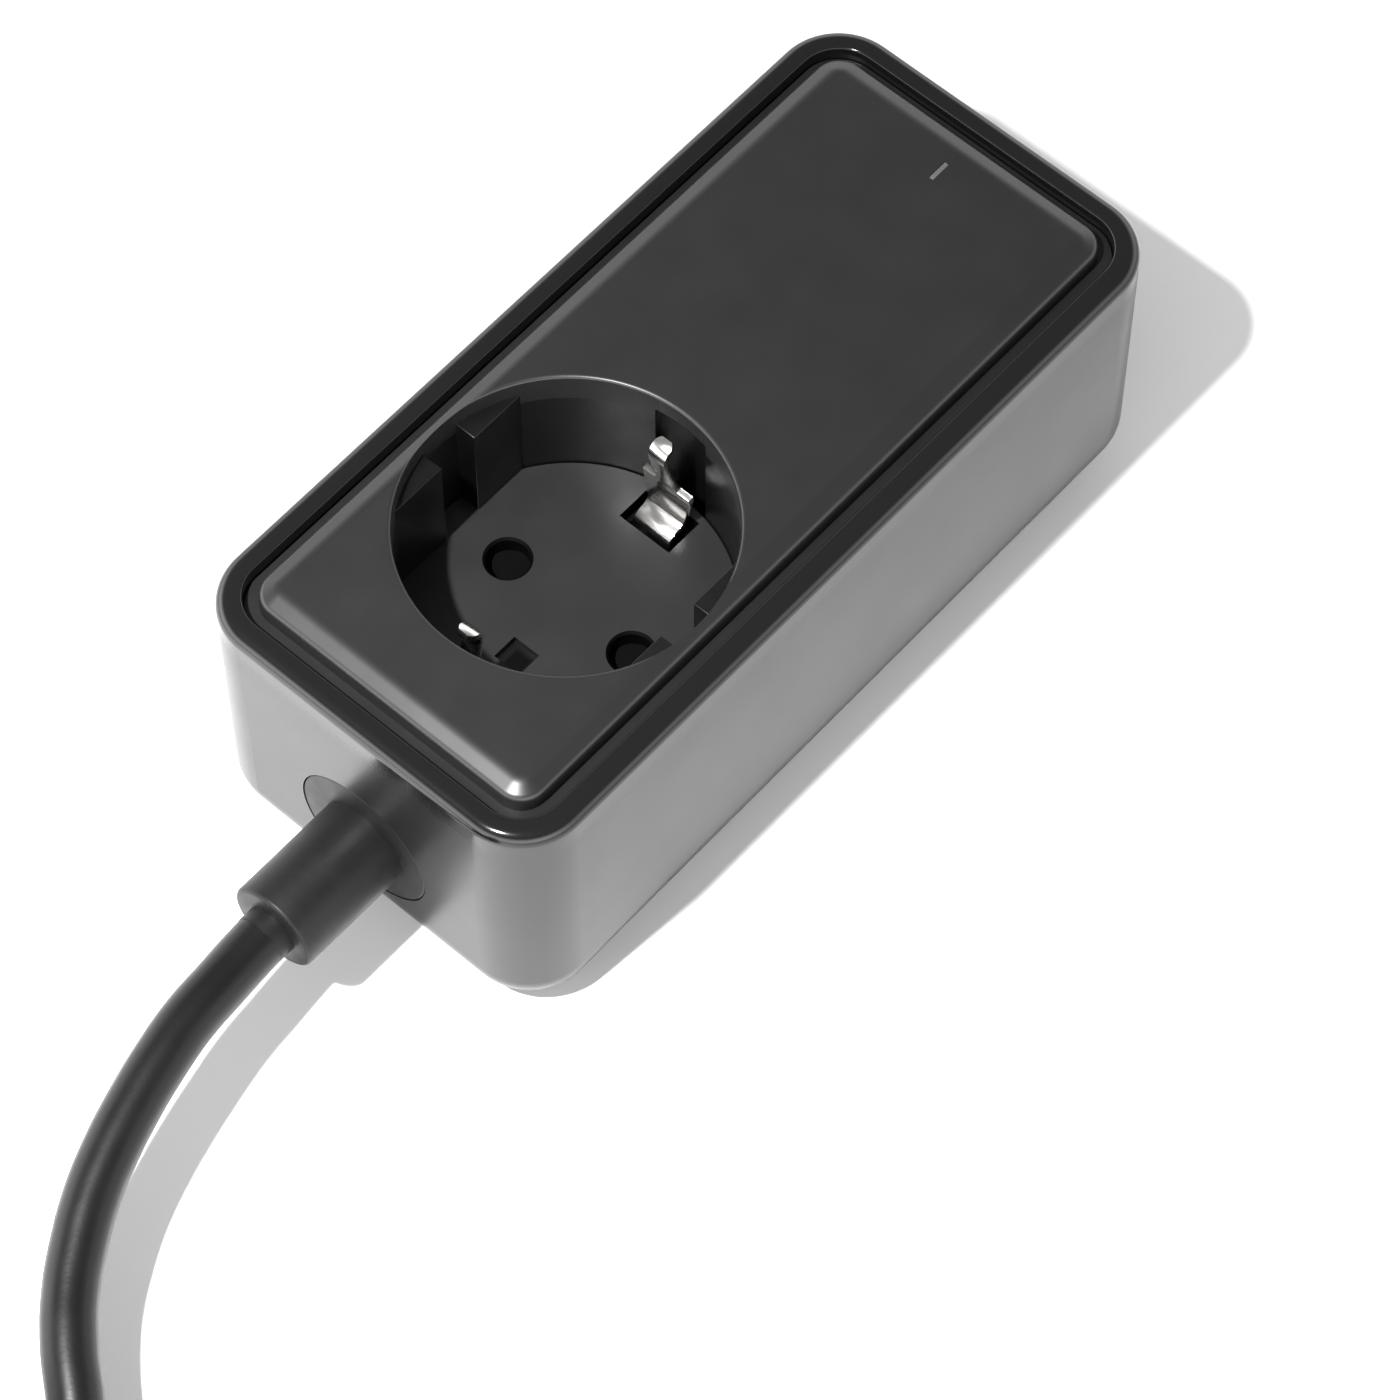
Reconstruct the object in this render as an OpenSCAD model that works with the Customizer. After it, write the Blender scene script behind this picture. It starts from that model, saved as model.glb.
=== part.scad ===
// Corded smart socket block: one earthed outlet, relay and Wi-Fi electronics inside, mains lead with plug.
// Millimetres, +Z up. +X runs along the block away from the lead, the origin is the centre of the base.

/* [Block] */
// Length of the block along X
body_l = 110; // [90:0.5:140]
// Width of the block along Y
body_w = 51.4; // [48:0.1:70]
// Height of the top rim above the table
rim_z = 40.4; // [36:0.1:50]
// Height of the raised panel above the rim
panel_rise = 1.3; // [0:0.1:2]
// Plan radius of the vertical corners
corner_r = 8.3; // [4:0.1:15]
// Rounding of the bottom edge
base_r = 6.5; // [2:0.1:7.5]
// Rounding of the rim's outer edge
rim_r = 1.6; // [0.5:0.1:2.4]
// Wall thickness
wall = 2.4; // [1.8:0.1:3]
// Thickness of the feet under the block
foot_t = 0.8; // [0.4:0.1:2]

/* [Panel] */
// Width of the rim seen from above
rim_w = 3.1; // [2.4:0.1:4]
// Width of the groove between rim and panel
groove_w = 1; // [0.5:0.1:2]
// Width of the panel's bevel
bevel_w = 2.3; // [1:0.1:4]
// Distance of the status light from the middle
light_x = 44.1; // [30:0.1:48]
// Length of the status light's window
light_l = 2.9; // [2:0.1:6]
// Width of the status light's window
light_w = 0.6; // [0.4:0.1:2]

/* [Socket] */
// Distance of the socket's axis from the middle, towards the lead
socket_x = -20.2; // [-30:0.1:-15]
// Radius of the socket recess
socket_r = 19.5; // [19:0.05:20]
// Depth of the socket recess
socket_depth = 17.5; // [17:0.1:18]
// Distance from the socket's axis to each pin hole
pin_y = 9.5; // [9.4:0.05:9.6]
// Radius of each pin hole
pin_hole_r = 2.65; // [2.6:0.05:3.2]
// Distance from the socket's axis to the flat guide ridges
guide_y = 16.5; // [16:0.05:17]
// Width of the channel between the guide ridges
guide_gap = 5.4; // [4:0.1:7]
// Drop of the guide ridges below the panel
guide_drop = 2.5; // [1:0.1:4]
// Turn of the child-safety shutter, for a look at other poses
shutter_turn = 0; // [0:1:45]

/* [Lead] */
// Diameter of the mains lead
cord_d = 6.5; // [6:0.1:8]
// Height of the lead's axis where it leaves the block
cord_z = 16.1; // [12:0.1:20]
// Outer radius of the collar round the lead
collar_r = 5.75; // [5:0.05:8]
// Length of the collar outside the block
collar_l = 15; // [10:0.5:30]
// Radius of the smallest turn in the stored coil
coil_in_r = 27; // [26:0.1:40]
// Layers of turns on top of each other in the stored coil
coil_layers = 4; // [2:2:6]

/* [Hidden] */
$fn = 64;
e = 0.01;
panel_z = rim_z + panel_rise;
floor_z = panel_z - socket_depth;      // seat of the socket
floor_t = 2.2;
cup_t = 1.5;
base_t = 2.4;
cover_z = foot_t + base_t;             // top of the bottom cover
ledge_z = 37.6;                        // ledge that carries the panel
pocket_z = 39.2;                       // ceiling of the panel's underside
groove_z = 38.5;                       // bottom of the groove round the panel
cover_l = body_l - 2 * base_r - 2;
cover_w = body_w - 2 * base_r - 2;
boss = [44.2, 15];                     // screw bosses under the corners
boss_top = 14;
pcb_z = 7;
pcb_t = 1.6;
pcb_top = pcb_z + pcb_t;
ctrl_z = 30;
ctrl_t = 1.2;
button_z = 14;
button_r = 3.5;
shutter_z = 19.7;
shutter_t = 2;
plate_z = 17.6;                        // contact carrier's plate
plate_t = 1.8;
clip_w = 5.4;                          // earth clip at the socket's floor
clip_shoulder = 7;                     // and at its shoulder
clip_tongue = 2.4;                     // and at its tip
shoulder_z = 30.4;
clip_t = 0.8;
slot_w = 7.6;
clip_foot = 14.2;                      // radius at which the earth clips stand
foot_at = [36, 12];
tie_at = 150;
cord_r = cord_d / 2;
coil_c = [-176.5, -14.6];
coil_enter = 290;                      // direction in which the lead joins the coil, clockwise from there
coil_leave = 105;                      // and the one in which it leaves the top layer
coil_turns = 6 + (coil_enter - coil_leave) / 360;
coil_out = coil_in_r + coil_turns / coil_layers * cord_d;
coil_top = coil_layers * cord_d;
plug_r = 18.6;
plug_back = 9;                         // thickness of the plug's back
plug_face = 26;                        // height of the plug's face, lying on its back
plug_pin = 19;
plug_cord_z = 9.5;
relief_l = 30;                         // from the plug's axis to the end of its relief
bend_r = 27;                           // turn of the tail over the coil
// the plug lies on the coil, in line with the end of the tail's half turn
function toward(a) = [cos(a), sin(a)];
tail_c = coil_c + (coil_out - bend_r) * toward(coil_leave);
tail_end = tail_c - bend_r * toward(coil_leave);
plug_c = tail_end + relief_l * toward(coil_leave + 90);
plug_z = coil_top + 0.02;

// Route of the lead: out of the collar in a flat arch, then down to the coil on the table
cord_route = [
  [-70, 0, 16.1], [-71.5, 0, 16.1], [-74.5, -0.2, 16.2], [-78.6, -0.6, 16.4], [-84.6, -1.2, 16.6], [-90.1, -2.3, 16.5],
  [-95.8, -3.7, 16], [-101.3, -5.4, 15.3], [-106.3, -7.4, 14.5], [-111.2, -10.1, 13.6],
  [-115.7, -13.2, 12.8], [-119.8, -17, 12.1], [-124, -22, 11], [-130.7, -29.1, 8.7],
  [-138.1, -35.6, 6.2], [-146.1, -41.2, 4.3], [-154.7, -45.9, 3.4]];
// Tail of the lead: rises off the top layer and turns over the coil to the plug
tail_lead = 25;                        // degrees of the top layer over which it starts to rise
function tail_rise(t) = t < 0 ? 0 : t > 1 ? 1 : 3 * t * t - 2 * t * t * t;
tail_route = concat(
  [for (i = [0:2]) let (a = coil_leave + tail_lead * (1 - i / 3))
    concat(coil_c + coil_out * toward(a), [coil_top - cord_r + (plug_cord_z + cord_r) * tail_rise(i * 0.06)])],
  [for (i = [0:12]) let (a = coil_leave - 15 * i)
    concat(tail_c + bend_r * toward(a), [coil_top - cord_r + (plug_cord_z + cord_r) * tail_rise(0.18 + i * 0.075)])],
  [concat(tail_end + 5 * toward(coil_leave + 90), [coil_top + plug_cord_z])]);

black = [0.10, 0.10, 0.105];
panel_grey = [0.13, 0.13, 0.135];
metal = [0.78, 0.77, 0.74];
board_green = [0.10, 0.35, 0.20];

// ---------- helpers ----------
// rounded rectangle, centred
module slab_2d(l, w, r) {
  polygon([for (q = [0:3]) for (i = [0:8])
    let (a = 90 * q + 90 * i / 8, sx = (q == 0 || q == 3) ? 1 : -1, sy = (q < 2) ? 1 : -1)
    [sx * (l / 2 - r) + r * cos(a), sy * (w / 2 - r) + r * sin(a)]]);
}
module slab(l, w, r, z0, z1) {
  translate([0, 0, z0]) linear_extrude(z1 - z0) slab_2d(l, w, r);
}
module box(x0, x1, y0, y1, z0, z1) {
  translate([x0, y0, z0]) cube([x1 - x0, y1 - y0, z1 - z0]);
}
// cylinder along X
module rod_x(x0, x1, r, y = 0, z = 0) {
  translate([x0, y, z]) rotate([0, 90, 0]) cylinder(h = x1 - x0, r = r);
}
// copies at the four sign combinations of a point
module four(p) {
  for (sx = [-1, 1]) for (sy = [-1, 1]) translate([sx * p[0], sy * p[1], 0]) children();
}
function unit(v) = v / norm(v);
// tube of radius r swept along points, n sides, one ring a point
function tube_dir(p, i) = unit(p[min(i + 1, len(p) - 1)] - p[max(i - 1, 0)]);
module tube(p, r, n) {
  ring = [for (i = [0:len(p) - 1])
    let (d = tube_dir(p, i), s = unit(cross(d, abs(d[2]) > 0.9 ? [1, 0, 0] : [0, 0, 1])),
         u = cross(s, d))
    for (k = [0:n - 1]) p[i] + r * (cos(360 * k / n) * s + sin(360 * k / n) * u)];
  last = len(p) - 1;
  sides = [for (i = [0:last - 1]) for (k = [0:n - 1])
    [i * n + k, (i + 1) * n + k, (i + 1) * n + (k + 1) % n, i * n + (k + 1) % n]];
  caps = [[for (k = [0:n - 1]) k], [for (k = [n - 1:-1:0]) last * n + k]];
  polyhedron(points = ring, faces = concat(sides, caps), convexity = 6);
}

// ---------- block ----------
// one corner of the shell: rounded foot, straight side, rounded rim
module shell_corner() {
  rotate_extrude($fn = 48)
    polygon(concat([[0, foot_t]],
      [for (i = [0:6]) let (a = 15 * i)
        [corner_r - base_r + base_r * sin(a), foot_t + base_r * (1 - cos(a))]],
      [for (i = [0:4]) let (a = 22.5 * i)
        [corner_r - rim_r + rim_r * cos(a), rim_z - rim_r + rim_r * sin(a)]],
      [[0, rim_z]]));
}
module shell_solid() {
  hull() four([body_l / 2 - corner_r, body_w / 2 - corner_r]) shell_corner();
}
module corner_boss(sx, sy) {
  px = sx * boss[0];
  py = sy * boss[1];
  translate([px, py, cover_z + 0.1]) cylinder(h = boss_top - cover_z - 0.1, r = 3.4);
  translate([min(px, sx * (body_l / 2 - wall)), py - 1, 4.4])
    cube([body_l / 2 - wall - boss[0], 2, boss_top - 4.4]);
  translate([px - 1, min(py, sy * (body_w / 2 - wall)), 4.4])
    cube([2, body_w / 2 - wall - boss[1], boss_top - 4.4]);
}
module housing() {
  color(black) difference() {
    union() {
      difference() {
        shell_solid();
        slab(body_l - 2 * wall, body_w - 2 * wall, corner_r - wall, 4.4, ledge_z - 1.2);
        slab(body_l - 2 * rim_w - 2.4, body_w - 2 * rim_w - 2.4, corner_r - rim_w - 1.2, 4, ledge_z + e);
        slab(body_l - 2 * rim_w, body_w - 2 * rim_w, corner_r - rim_w, ledge_z, rim_z + 1);
        slab(cover_l + 0.3, cover_w + 0.3, 3, 0, 5);
      }
      for (sx = [-1, 1]) for (sy = [-1, 1]) corner_boss(sx, sy);
    }
    four(boss) cylinder(h = 10, r = 1.45);
    rod_x(-body_l / 2 - 1, -body_l / 2 + 1.3, 9.4, 0, cord_z + 0.5);
    rod_x(-body_l / 2 - 1, -body_l / 2 + 4, 5.8, 0, cord_z);
    rod_x(body_l / 2 - 4, body_l / 2 + 1, button_r + 0.1, 0, button_z);
  }
}
// raised part of the panel: plain plate with a bevel round it
module panel_top() {
  hull() {
    slab(body_l - 2 * (rim_w + groove_w), body_w - 2 * (rim_w + groove_w), 4.2, pocket_z, 39.8);
    slab(body_l - 2 * (rim_w + groove_w) - 1.6, body_w - 2 * (rim_w + groove_w) - 1.6, 3.6, 41.2, 41.25);
    slab(body_l - 2 * (rim_w + groove_w + bevel_w), body_w - 2 * (rim_w + groove_w + bevel_w), 2.6,
      panel_z - 0.05, panel_z);
  }
}
module top_panel() {
  color(panel_grey) difference() {
    union() {
      panel_top();
      difference() {
        union() {
          slab(body_l - 2 * rim_w - 0.3, body_w - 2 * rim_w - 0.3, corner_r - rim_w - 0.1, ledge_z, groove_z);
          slab(body_l - 2 * (rim_w + groove_w), body_w - 2 * (rim_w + groove_w), 4.2, ledge_z, 39.4);
        }
        slab(body_l - 2 * rim_w - 4.4, body_w - 2 * rim_w - 4.4, 3.2, ledge_z - 1, pocket_z);
      }
      difference() {
        translate([socket_x, 0, ledge_z]) cylinder(h = 2, r = socket_r + 2.4);
        translate([0, 0, ledge_z - 1])
          linear_extrude(6) difference() {
            square([300, 300], center = true);
            slab_2d(body_l - 2 * rim_w - 0.3, body_w - 2 * rim_w - 0.3, 5);
          }
        translate([0, 0, groove_z])
          linear_extrude(6) difference() {
            square([300, 300], center = true);
            slab_2d(body_l - 2 * (rim_w + groove_w), body_w - 2 * (rim_w + groove_w), 4.2);
          }
      }
      for (x = [21, 47]) for (y = [-12, 12])
        translate([x, y, ctrl_z + ctrl_t]) cylinder(h = pocket_z - ctrl_z - ctrl_t + 0.2, r = 1.9);
    }
    translate([socket_x, 0, ledge_z - 1]) cylinder(h = 6, r = socket_r);
    translate([socket_x, 0, panel_z - 0.4]) cylinder(h = 0.81, r1 = socket_r, r2 = socket_r + 0.8);
    for (s = [-1, 1]) translate([socket_x + s * (socket_r - 0.2), 0, ledge_z])
      cube([2.2, slot_w, 3.2], center = true);
    box(light_x - light_l / 2 - 0.05, light_x + light_l / 2 + 0.05, -light_w / 2 - 0.05,
      light_w / 2 + 0.05, 38, 43);
    box(light_x - 2.5, light_x + 2.5, -1.3, 1.3, 38, 40.6);
    for (x = [21, 47]) for (y = [-12, 12]) translate([x, y, ctrl_z]) cylinder(h = 6, r = 0.9);
  }
}
module light_pipe() {
  color([0.85, 0.87, 0.9]) {
    box(light_x - light_l / 2, light_x + light_l / 2, -light_w / 2, light_w / 2, 40.4, panel_z);
    box(light_x - 2.4, light_x + 2.4, -1.2, 1.2, 33, 40.5);
  }
}
module base_cover() {
  color(black) difference() {
    union() {
      slab(cover_l, cover_w, 2.9, foot_t, cover_z);
      box(-47.4, -43.4, -9, 9, cover_z - e, cord_z - 0.2);
      for (p = [[8, 17], [8, -17], [36.5, 17], [36.5, -17]])
        translate([p[0], p[1], cover_z - e]) cylinder(h = pcb_z - cover_z + e, r = 2.2);
      for (y = [-6, 6]) box(-30, -10, y - 0.8, y + 0.8, cover_z - e, cover_z + 1.4);
    }
    four(boss) {
      cylinder(h = 10, r = 1.6, center = true);
      translate([0, 0, foot_t - 1]) cylinder(h = 2.3, r = 3.2);
    }
    rod_x(-50, -43, cord_r + 0.02, 0, cord_z);
    for (y = [-6.3, 6.3]) translate([-45.4, y, cord_z - 9]) cylinder(h = 10, r = 1.1);
    for (p = [[8, 17], [8, -17], [36.5, 17], [36.5, -17]])
      translate([p[0], p[1], cover_z - 1]) cylinder(h = 8, r = 0.95);
  }
}
module rubber_feet() {
  color([0.16, 0.16, 0.16]) four(foot_at) cylinder(h = foot_t, r = 4);
}
module cover_screws() {
  color(metal) four(boss) difference() {
    union() {
      translate([0, 0, foot_t + 0.15]) cylinder(h = 1.1, r = 3);
      translate([0, 0, foot_t + 1]) cylinder(h = 8, r = 1.4);
    }
    for (a = [0, 90]) rotate([0, 0, a]) translate([0, 0, foot_t + 0.2]) cube([3.2, 0.8, 0.9], center = true);
  }
}

// ---------- lead entry ----------
module strain_relief() {
  color([0.12, 0.12, 0.125]) difference() {
    union() {
      rod_x(-body_l / 2 - collar_l, -body_l / 2 + 5, collar_r, 0, cord_z);
      rod_x(-body_l / 2, -body_l / 2 + 1.25, 9.3, 0, cord_z + 0.5);
      rod_x(-body_l / 2 + wall + 0.05, -body_l / 2 + 4, 8, 0, cord_z);
    }
    rod_x(-body_l / 2 - collar_l - 1, -body_l / 2 + 6, cord_r + 0.02, 0, cord_z);
  }
}
module sheath_end() {
  color([0.09, 0.09, 0.09]) rod_x(-body_l / 2 - collar_l, -42.6, cord_r, 0, cord_z);
}
module cord_clamp() {
  color([0.2, 0.2, 0.2]) difference() {
    box(-47.4, -43.4, -9, 9, cord_z + 0.2, cord_z + 5.4);
    rod_x(-50, -43, cord_r + 0.02, 0, cord_z);
    for (y = [-6.3, 6.3]) translate([-45.4, y, cord_z]) cylinder(h = 9, r = 1.3);
  }
}
module clamp_screws() {
  color(metal) for (y = [-6.3, 6.3]) translate([-45.4, y, 0]) {
    translate([0, 0, cord_z - 8]) cylinder(h = 13.5, r = 1.05);
    translate([0, 0, cord_z + 5.4]) cylinder(h = 1.6, r = 2.1);
  }
}

// ---------- socket ----------
module guide_ridge(side, x0, x1) {
  intersection() {
    union() {
      translate([0, 0, floor_z + 0.02]) cylinder(h = ledge_z - floor_z - 0.3, r = socket_r + 0.1);
      translate([0, 0, floor_z + 0.02]) cylinder(h = socket_depth - guide_drop, r = socket_r - 0.03);
    }
    box(x0, x1, side > 0 ? guide_y : -socket_r - 1, side > 0 ? socket_r + 1 : -guide_y,
      floor_z - 1, panel_z - guide_drop);
  }
}
module socket_cup() {
  color(panel_grey) translate([socket_x, 0, 0]) difference() {
    union() {
      difference() {
        translate([0, 0, floor_z - floor_t]) cylinder(h = ledge_z - floor_z + floor_t, r = socket_r + cup_t);
        translate([0, 0, floor_z - 10]) cylinder(h = 40, r = socket_r);
      }
      for (side = [-1, 1]) {
        guide_ridge(side, guide_gap / 2, socket_r);
        guide_ridge(side, -socket_r, -guide_gap / 2);
      }
    }
    for (s = [-1, 1])
      box(min(s * 17, s * 20.2), max(s * 17, s * 20.2), -slot_w / 2, slot_w / 2, floor_z - 5, 45);
  }
}
// disc at the bottom of the socket, with the pin holes and the slots of the earth clips
module socket_floor() {
  color(panel_grey) translate([socket_x, 0, 0]) difference() {
    translate([0, 0, floor_z - floor_t]) cylinder(h = floor_t, r = socket_r - 0.02);
    for (y = [-pin_y, pin_y]) translate([0, y, floor_z - 5]) cylinder(h = 10, r = pin_hole_r);
    for (s = [-1, 1])
      box(min(s * 12.8, s * 18.1), max(s * 12.8, s * 18.1), -slot_w / 2, slot_w / 2, floor_z - 5, floor_z + e);
    box(-10.6, -6.8, -2.2, 2.2, floor_z - 1.5, floor_z + 1);
    for (a = [45:90:315]) rotate([0, 0, a]) translate([17, 0, floor_z - 5]) cylinder(h = 4.4, r = 1.3);
  }
}
module contact_carrier() {
  color([0.05, 0.05, 0.05]) translate([socket_x, 0, 0]) difference() {
    union() {
      translate([0, 0, plate_z]) cylinder(h = plate_t, r = 20.6);
      difference() {
        translate([0, 0, plate_z]) cylinder(h = floor_z - floor_t - plate_z, r = 20.6);
        cylinder(h = 40, r = 14.4);
      }
      cylinder_post();
      for (s = [-1, 1]) box(-4.6, 4.6, s * pin_y - 4.6, s * pin_y + 4.6, 6.5, plate_z + e);
    }
    for (s = [-1, 1]) {
      translate([0, s * pin_y, 0]) cylinder(h = plate_z - 0.1, r = 3.6);
      translate([0, s * pin_y, 0]) cylinder(h = 30, r = 2.9);
      box(min(s * 13.2, s * 17), max(s * 13.2, s * 17), -3.2, 3.2, 10, 30);
    }
    for (a = [45:90:315]) rotate([0, 0, a]) translate([17, 0, 0]) cylinder(h = 40, r = 1.3);
  }
}
module cylinder_post() {
  translate([0, 0, plate_z]) cylinder(h = floor_z - floor_t - plate_z, r = 2);
}
module carrier_screws() {
  color(metal) translate([socket_x, 0, 0]) for (a = [45:90:315]) rotate([0, 0, a]) translate([17, 0, 0]) {
    translate([0, 0, plate_z - 1.7]) cylinder(h = 1.7, r = 2.2);
    translate([0, 0, plate_z - 0.1]) cylinder(h = 5.6, r = 1.15);
  }
}
// bar that covers both pin holes and turns about the post
module shutter() {
  color([0.06, 0.06, 0.06]) translate([socket_x, 0, shutter_z]) rotate([0, 0, shutter_turn]) difference() {
    union() {
      cylinder(h = shutter_t, r = 5);
      for (s = [-1, 1]) translate([0, s * pin_y, 0]) cylinder(h = shutter_t, r = 3.6);
      translate([-2.6, -pin_y, 0]) cube([5.2, 2 * pin_y, shutter_t]);
    }
    translate([0, 0, -1]) cylinder(h = 6, r = 2.08);
    difference() {
      translate([0, 0, -1]) cylinder(h = 2, r = 4.2);
      translate([0, 0, -2]) cylinder(h = 4, r = 2.9);
    }
  }
}
module shutter_spring() {
  color(metal) translate([socket_x, 0, plate_z + plate_t]) rotate_extrude() translate([3.5, 0.25]) circle(r = 0.25, $fn = 16);
}
// sleeve that grips a plug's pin, split by two slots
module pin_contact(side) {
  color([0.8, 0.62, 0.32]) translate([socket_x, side * pin_y, 0]) {
    difference() {
      translate([0, 0, 7]) cylinder(h = plate_z - 0.2 - 7, r = 3.5);
      translate([0, 0, 5]) cylinder(h = 20, r = 2.45);
      for (a = [0, 90]) rotate([0, 0, a]) translate([0, 0, 15.6]) cube([9, 0.8, 7], center = true);
    }
    difference() {
      translate([-3, -3, 5.4]) cube([6, 6, 1]);
      translate([0, 0, 5]) cylinder(h = 20, r = 2.45);
    }
    translate([3, -1.5, 5.4]) cube([4, 3, 1]);
    difference() {
      translate([0, 0, 6.3]) cylinder(h = 0.8, r = 3.5);
      translate([0, 0, 5]) cylinder(h = 20, r = 2.45);
    }
  }
}
module live_contact() {
  pin_contact(1);
}
module neutral_contact() {
  pin_contact(-1);
}
module earth_strap() {
  color(metal) translate([socket_x, 0, 0]) {
    box(-clip_foot - 0.4, clip_foot + 0.4, -2.6, 2.6, plate_z - 1, plate_z - 0.2);
    for (s = [-1, 1])
      translate([s * clip_foot, 0, 0]) box(-0.4, 0.4, -2.6, 2.6, plate_z - 0.4, 20);
    box(-clip_foot - 5, -clip_foot, -1.5, 1.5, plate_z - 1, plate_z - 0.2);
  }
}
// strip with a rolled foot that it rocks on, bent out along the floor and up the wall to its
// shoulder, then a narrow tongue that leans in and curls back at the tip, s is its side
module earth_clip(s) {
  p = [[clip_foot, 20.9], [clip_foot, 23], [14.9, 23.8], [16.3, 24.3], [16.95, 25.1], [16.95, shoulder_z],
    [15.5, 36.4], [15.35, 37.6], [15.9, 38.4], [17.1, 39]];
  n = len(p) - 1;
  color([0.9, 0.9, 0.88]) translate([socket_x, 0, 0]) rotate([0, 0, s > 0 ? 0 : 180]) {
    intersection() {
      rotate([90, 0, 0]) linear_extrude(clip_shoulder, center = true)
        polygon(concat([for (i = [0:n]) p[i] - clip_side(p, i)], [for (i = [n:-1:0]) p[i] + clip_side(p, i)]));
      rotate([90, 0, 90]) linear_extrude(20)
        polygon([for (q = [[1, [clip_w / 2, 20]], [1, [clip_w / 2, 24.6]], [1, [clip_shoulder / 2, shoulder_z - 1]],
            [1, [clip_shoulder / 2, shoulder_z]], [1, [clip_tongue / 2 + 0.5, shoulder_z]],
            [1, [clip_tongue / 2, shoulder_z + 0.8]], [1, [clip_tongue / 2, 38.8]],
            [1, [clip_tongue / 2 - 0.6, 40]], [-1, [clip_tongue / 2 - 0.6, 40]],
            [-1, [clip_tongue / 2, 38.8]], [-1, [clip_tongue / 2, shoulder_z + 0.8]],
            [-1, [clip_tongue / 2 + 0.5, shoulder_z]], [-1, [clip_shoulder / 2, shoulder_z]],
            [-1, [clip_shoulder / 2, shoulder_z - 1]], [-1, [clip_w / 2, 24.6]], [-1, [clip_w / 2, 20]]])
          [q[0] * q[1][0], q[1][1]]]);
    }
    translate([clip_foot, 0, 20.9]) rotate([90, 0, 0]) cylinder(h = clip_w, r = 0.8, center = true);
  }
}
// half the strip's thickness, square to the strip at point i
function clip_side(p, i) = let (d = unit(p[min(i + 1, len(p) - 1)] - p[max(i - 1, 0)])) clip_t / 2 * [d[1], -d[0]];
module earth_clip_far() {
  earth_clip(1);
}
module earth_clip_near() {
  earth_clip(-1);
}

// ---------- electronics ----------
module main_board() {
  color(board_green) difference() {
    union() {
      box(4, 39.5, -21.5, 21.5, pcb_z, pcb_top);
      box(39, 50.2, -10.5, 10.5, pcb_z, pcb_top);
    }
    for (p = [[8, 17], [8, -17], [36.5, 17], [36.5, -17]])
      translate([p[0], p[1], 0]) cylinder(h = 20, r = 1.3);
  }
}
module board_screws() {
  color(metal) for (p = [[8, 17], [8, -17], [36.5, 17], [36.5, -17]]) translate([p[0], p[1], 0]) {
    translate([0, 0, cover_z + 0.5]) cylinder(h = pcb_top - cover_z, r = 0.9);
    translate([0, 0, pcb_top]) cylinder(h = 1.3, r = 2);
  }
}
module relay() {
  color([0.1, 0.25, 0.6]) box(13, 32, 2.5, 14, pcb_top, 24);
}
module power_module() {
  color([0.08, 0.08, 0.08]) {
    box(13, 33, -14, -1, pcb_top, 22);
    box(15, 31, -12.5, -2.5, 22 - e, 22.6);
  }
}
module capacitors() {
  color([0.15, 0.18, 0.45]) {
    translate([24, -18, pcb_top]) cylinder(h = 13, r = 3.2);
    translate([16, -18, pcb_top]) cylinder(h = 11, r = 3.2);
  }
}
module film_capacitor() {
  color([0.85, 0.75, 0.2]) box(34, 38.6, -10, 2, pcb_top, 19);
}
module fuse() {
  color([0.75, 0.7, 0.6]) {
    translate([15.5, 18, pcb_top]) cylinder(h = 8, r = 3);
  }
}
module varistor() {
  color([0.1, 0.35, 0.65]) translate([26, 18, pcb_top + 6]) rotate([90, 0, 0]) cylinder(h = 3.4, r = 5.2, center = true);
  color(metal) for (x = [23.5, 28.5]) translate([x, 18, pcb_top]) cylinder(h = 2, r = 0.4);
}
module terminal_block() {
  color([0.15, 0.5, 0.3]) difference() {
    box(4.2, 11.6, -13, 13, pcb_top, 18.6);
    for (y = [-10:5:10]) {
      translate([8, y, 12]) cylinder(h = 8, r = 1.7);
      rod_x(3, 9, 1.35, y, 11);
    }
  }
}
module control_board() {
  color(board_green) difference() {
    box(18, 50, -14, 14, ctrl_z, ctrl_z + ctrl_t);
    for (x = [21, 47]) for (y = [-12, 12]) translate([x, y, 20]) cylinder(h = 20, r = 1);
  }
}
module wifi_board() {
  color([0.05, 0.12, 0.3]) box(20, 38, -8, 8, ctrl_z + ctrl_t, ctrl_z + ctrl_t + 0.8);
}
module wifi_shield() {
  color(metal) box(25, 37, -6.5, 6.5, ctrl_z + ctrl_t + 0.8, ctrl_z + ctrl_t + 3.2);
}
module status_led() {
  color([0.95, 0.95, 0.8]) box(light_x - 1.6, light_x + 1.6, -0.8, 0.8, ctrl_z + ctrl_t, 32.4);
}
module board_header() {
  color([0.1, 0.1, 0.1]) box(40.4, 42.9, -7, 7, pcb_top, pcb_top + 2.5);
  color(metal) for (y = [-5.6:2.8:5.6]) translate([41.65, y, pcb_top + 2.4]) cylinder(h = ctrl_z - pcb_top - 2.4, r = 0.4);
}
module tact_switch() {
  color([0.08, 0.08, 0.08]) difference() {
    box(45, 48.6, -3.1, 3.1, pcb_top, 17);
    rod_x(46, 49, 1.1, 0, button_z);
  }
}
module switch_plunger() {
  color([0.7, 0.7, 0.7]) rod_x(47, 50.7, 1, 0, button_z);
}
module pair_button() {
  color(black) {
    rod_x(50.7, 52, 4.6, 0, button_z);
    rod_x(51, body_l / 2 - 0.1, button_r, 0, button_z);
  }
}

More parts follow.
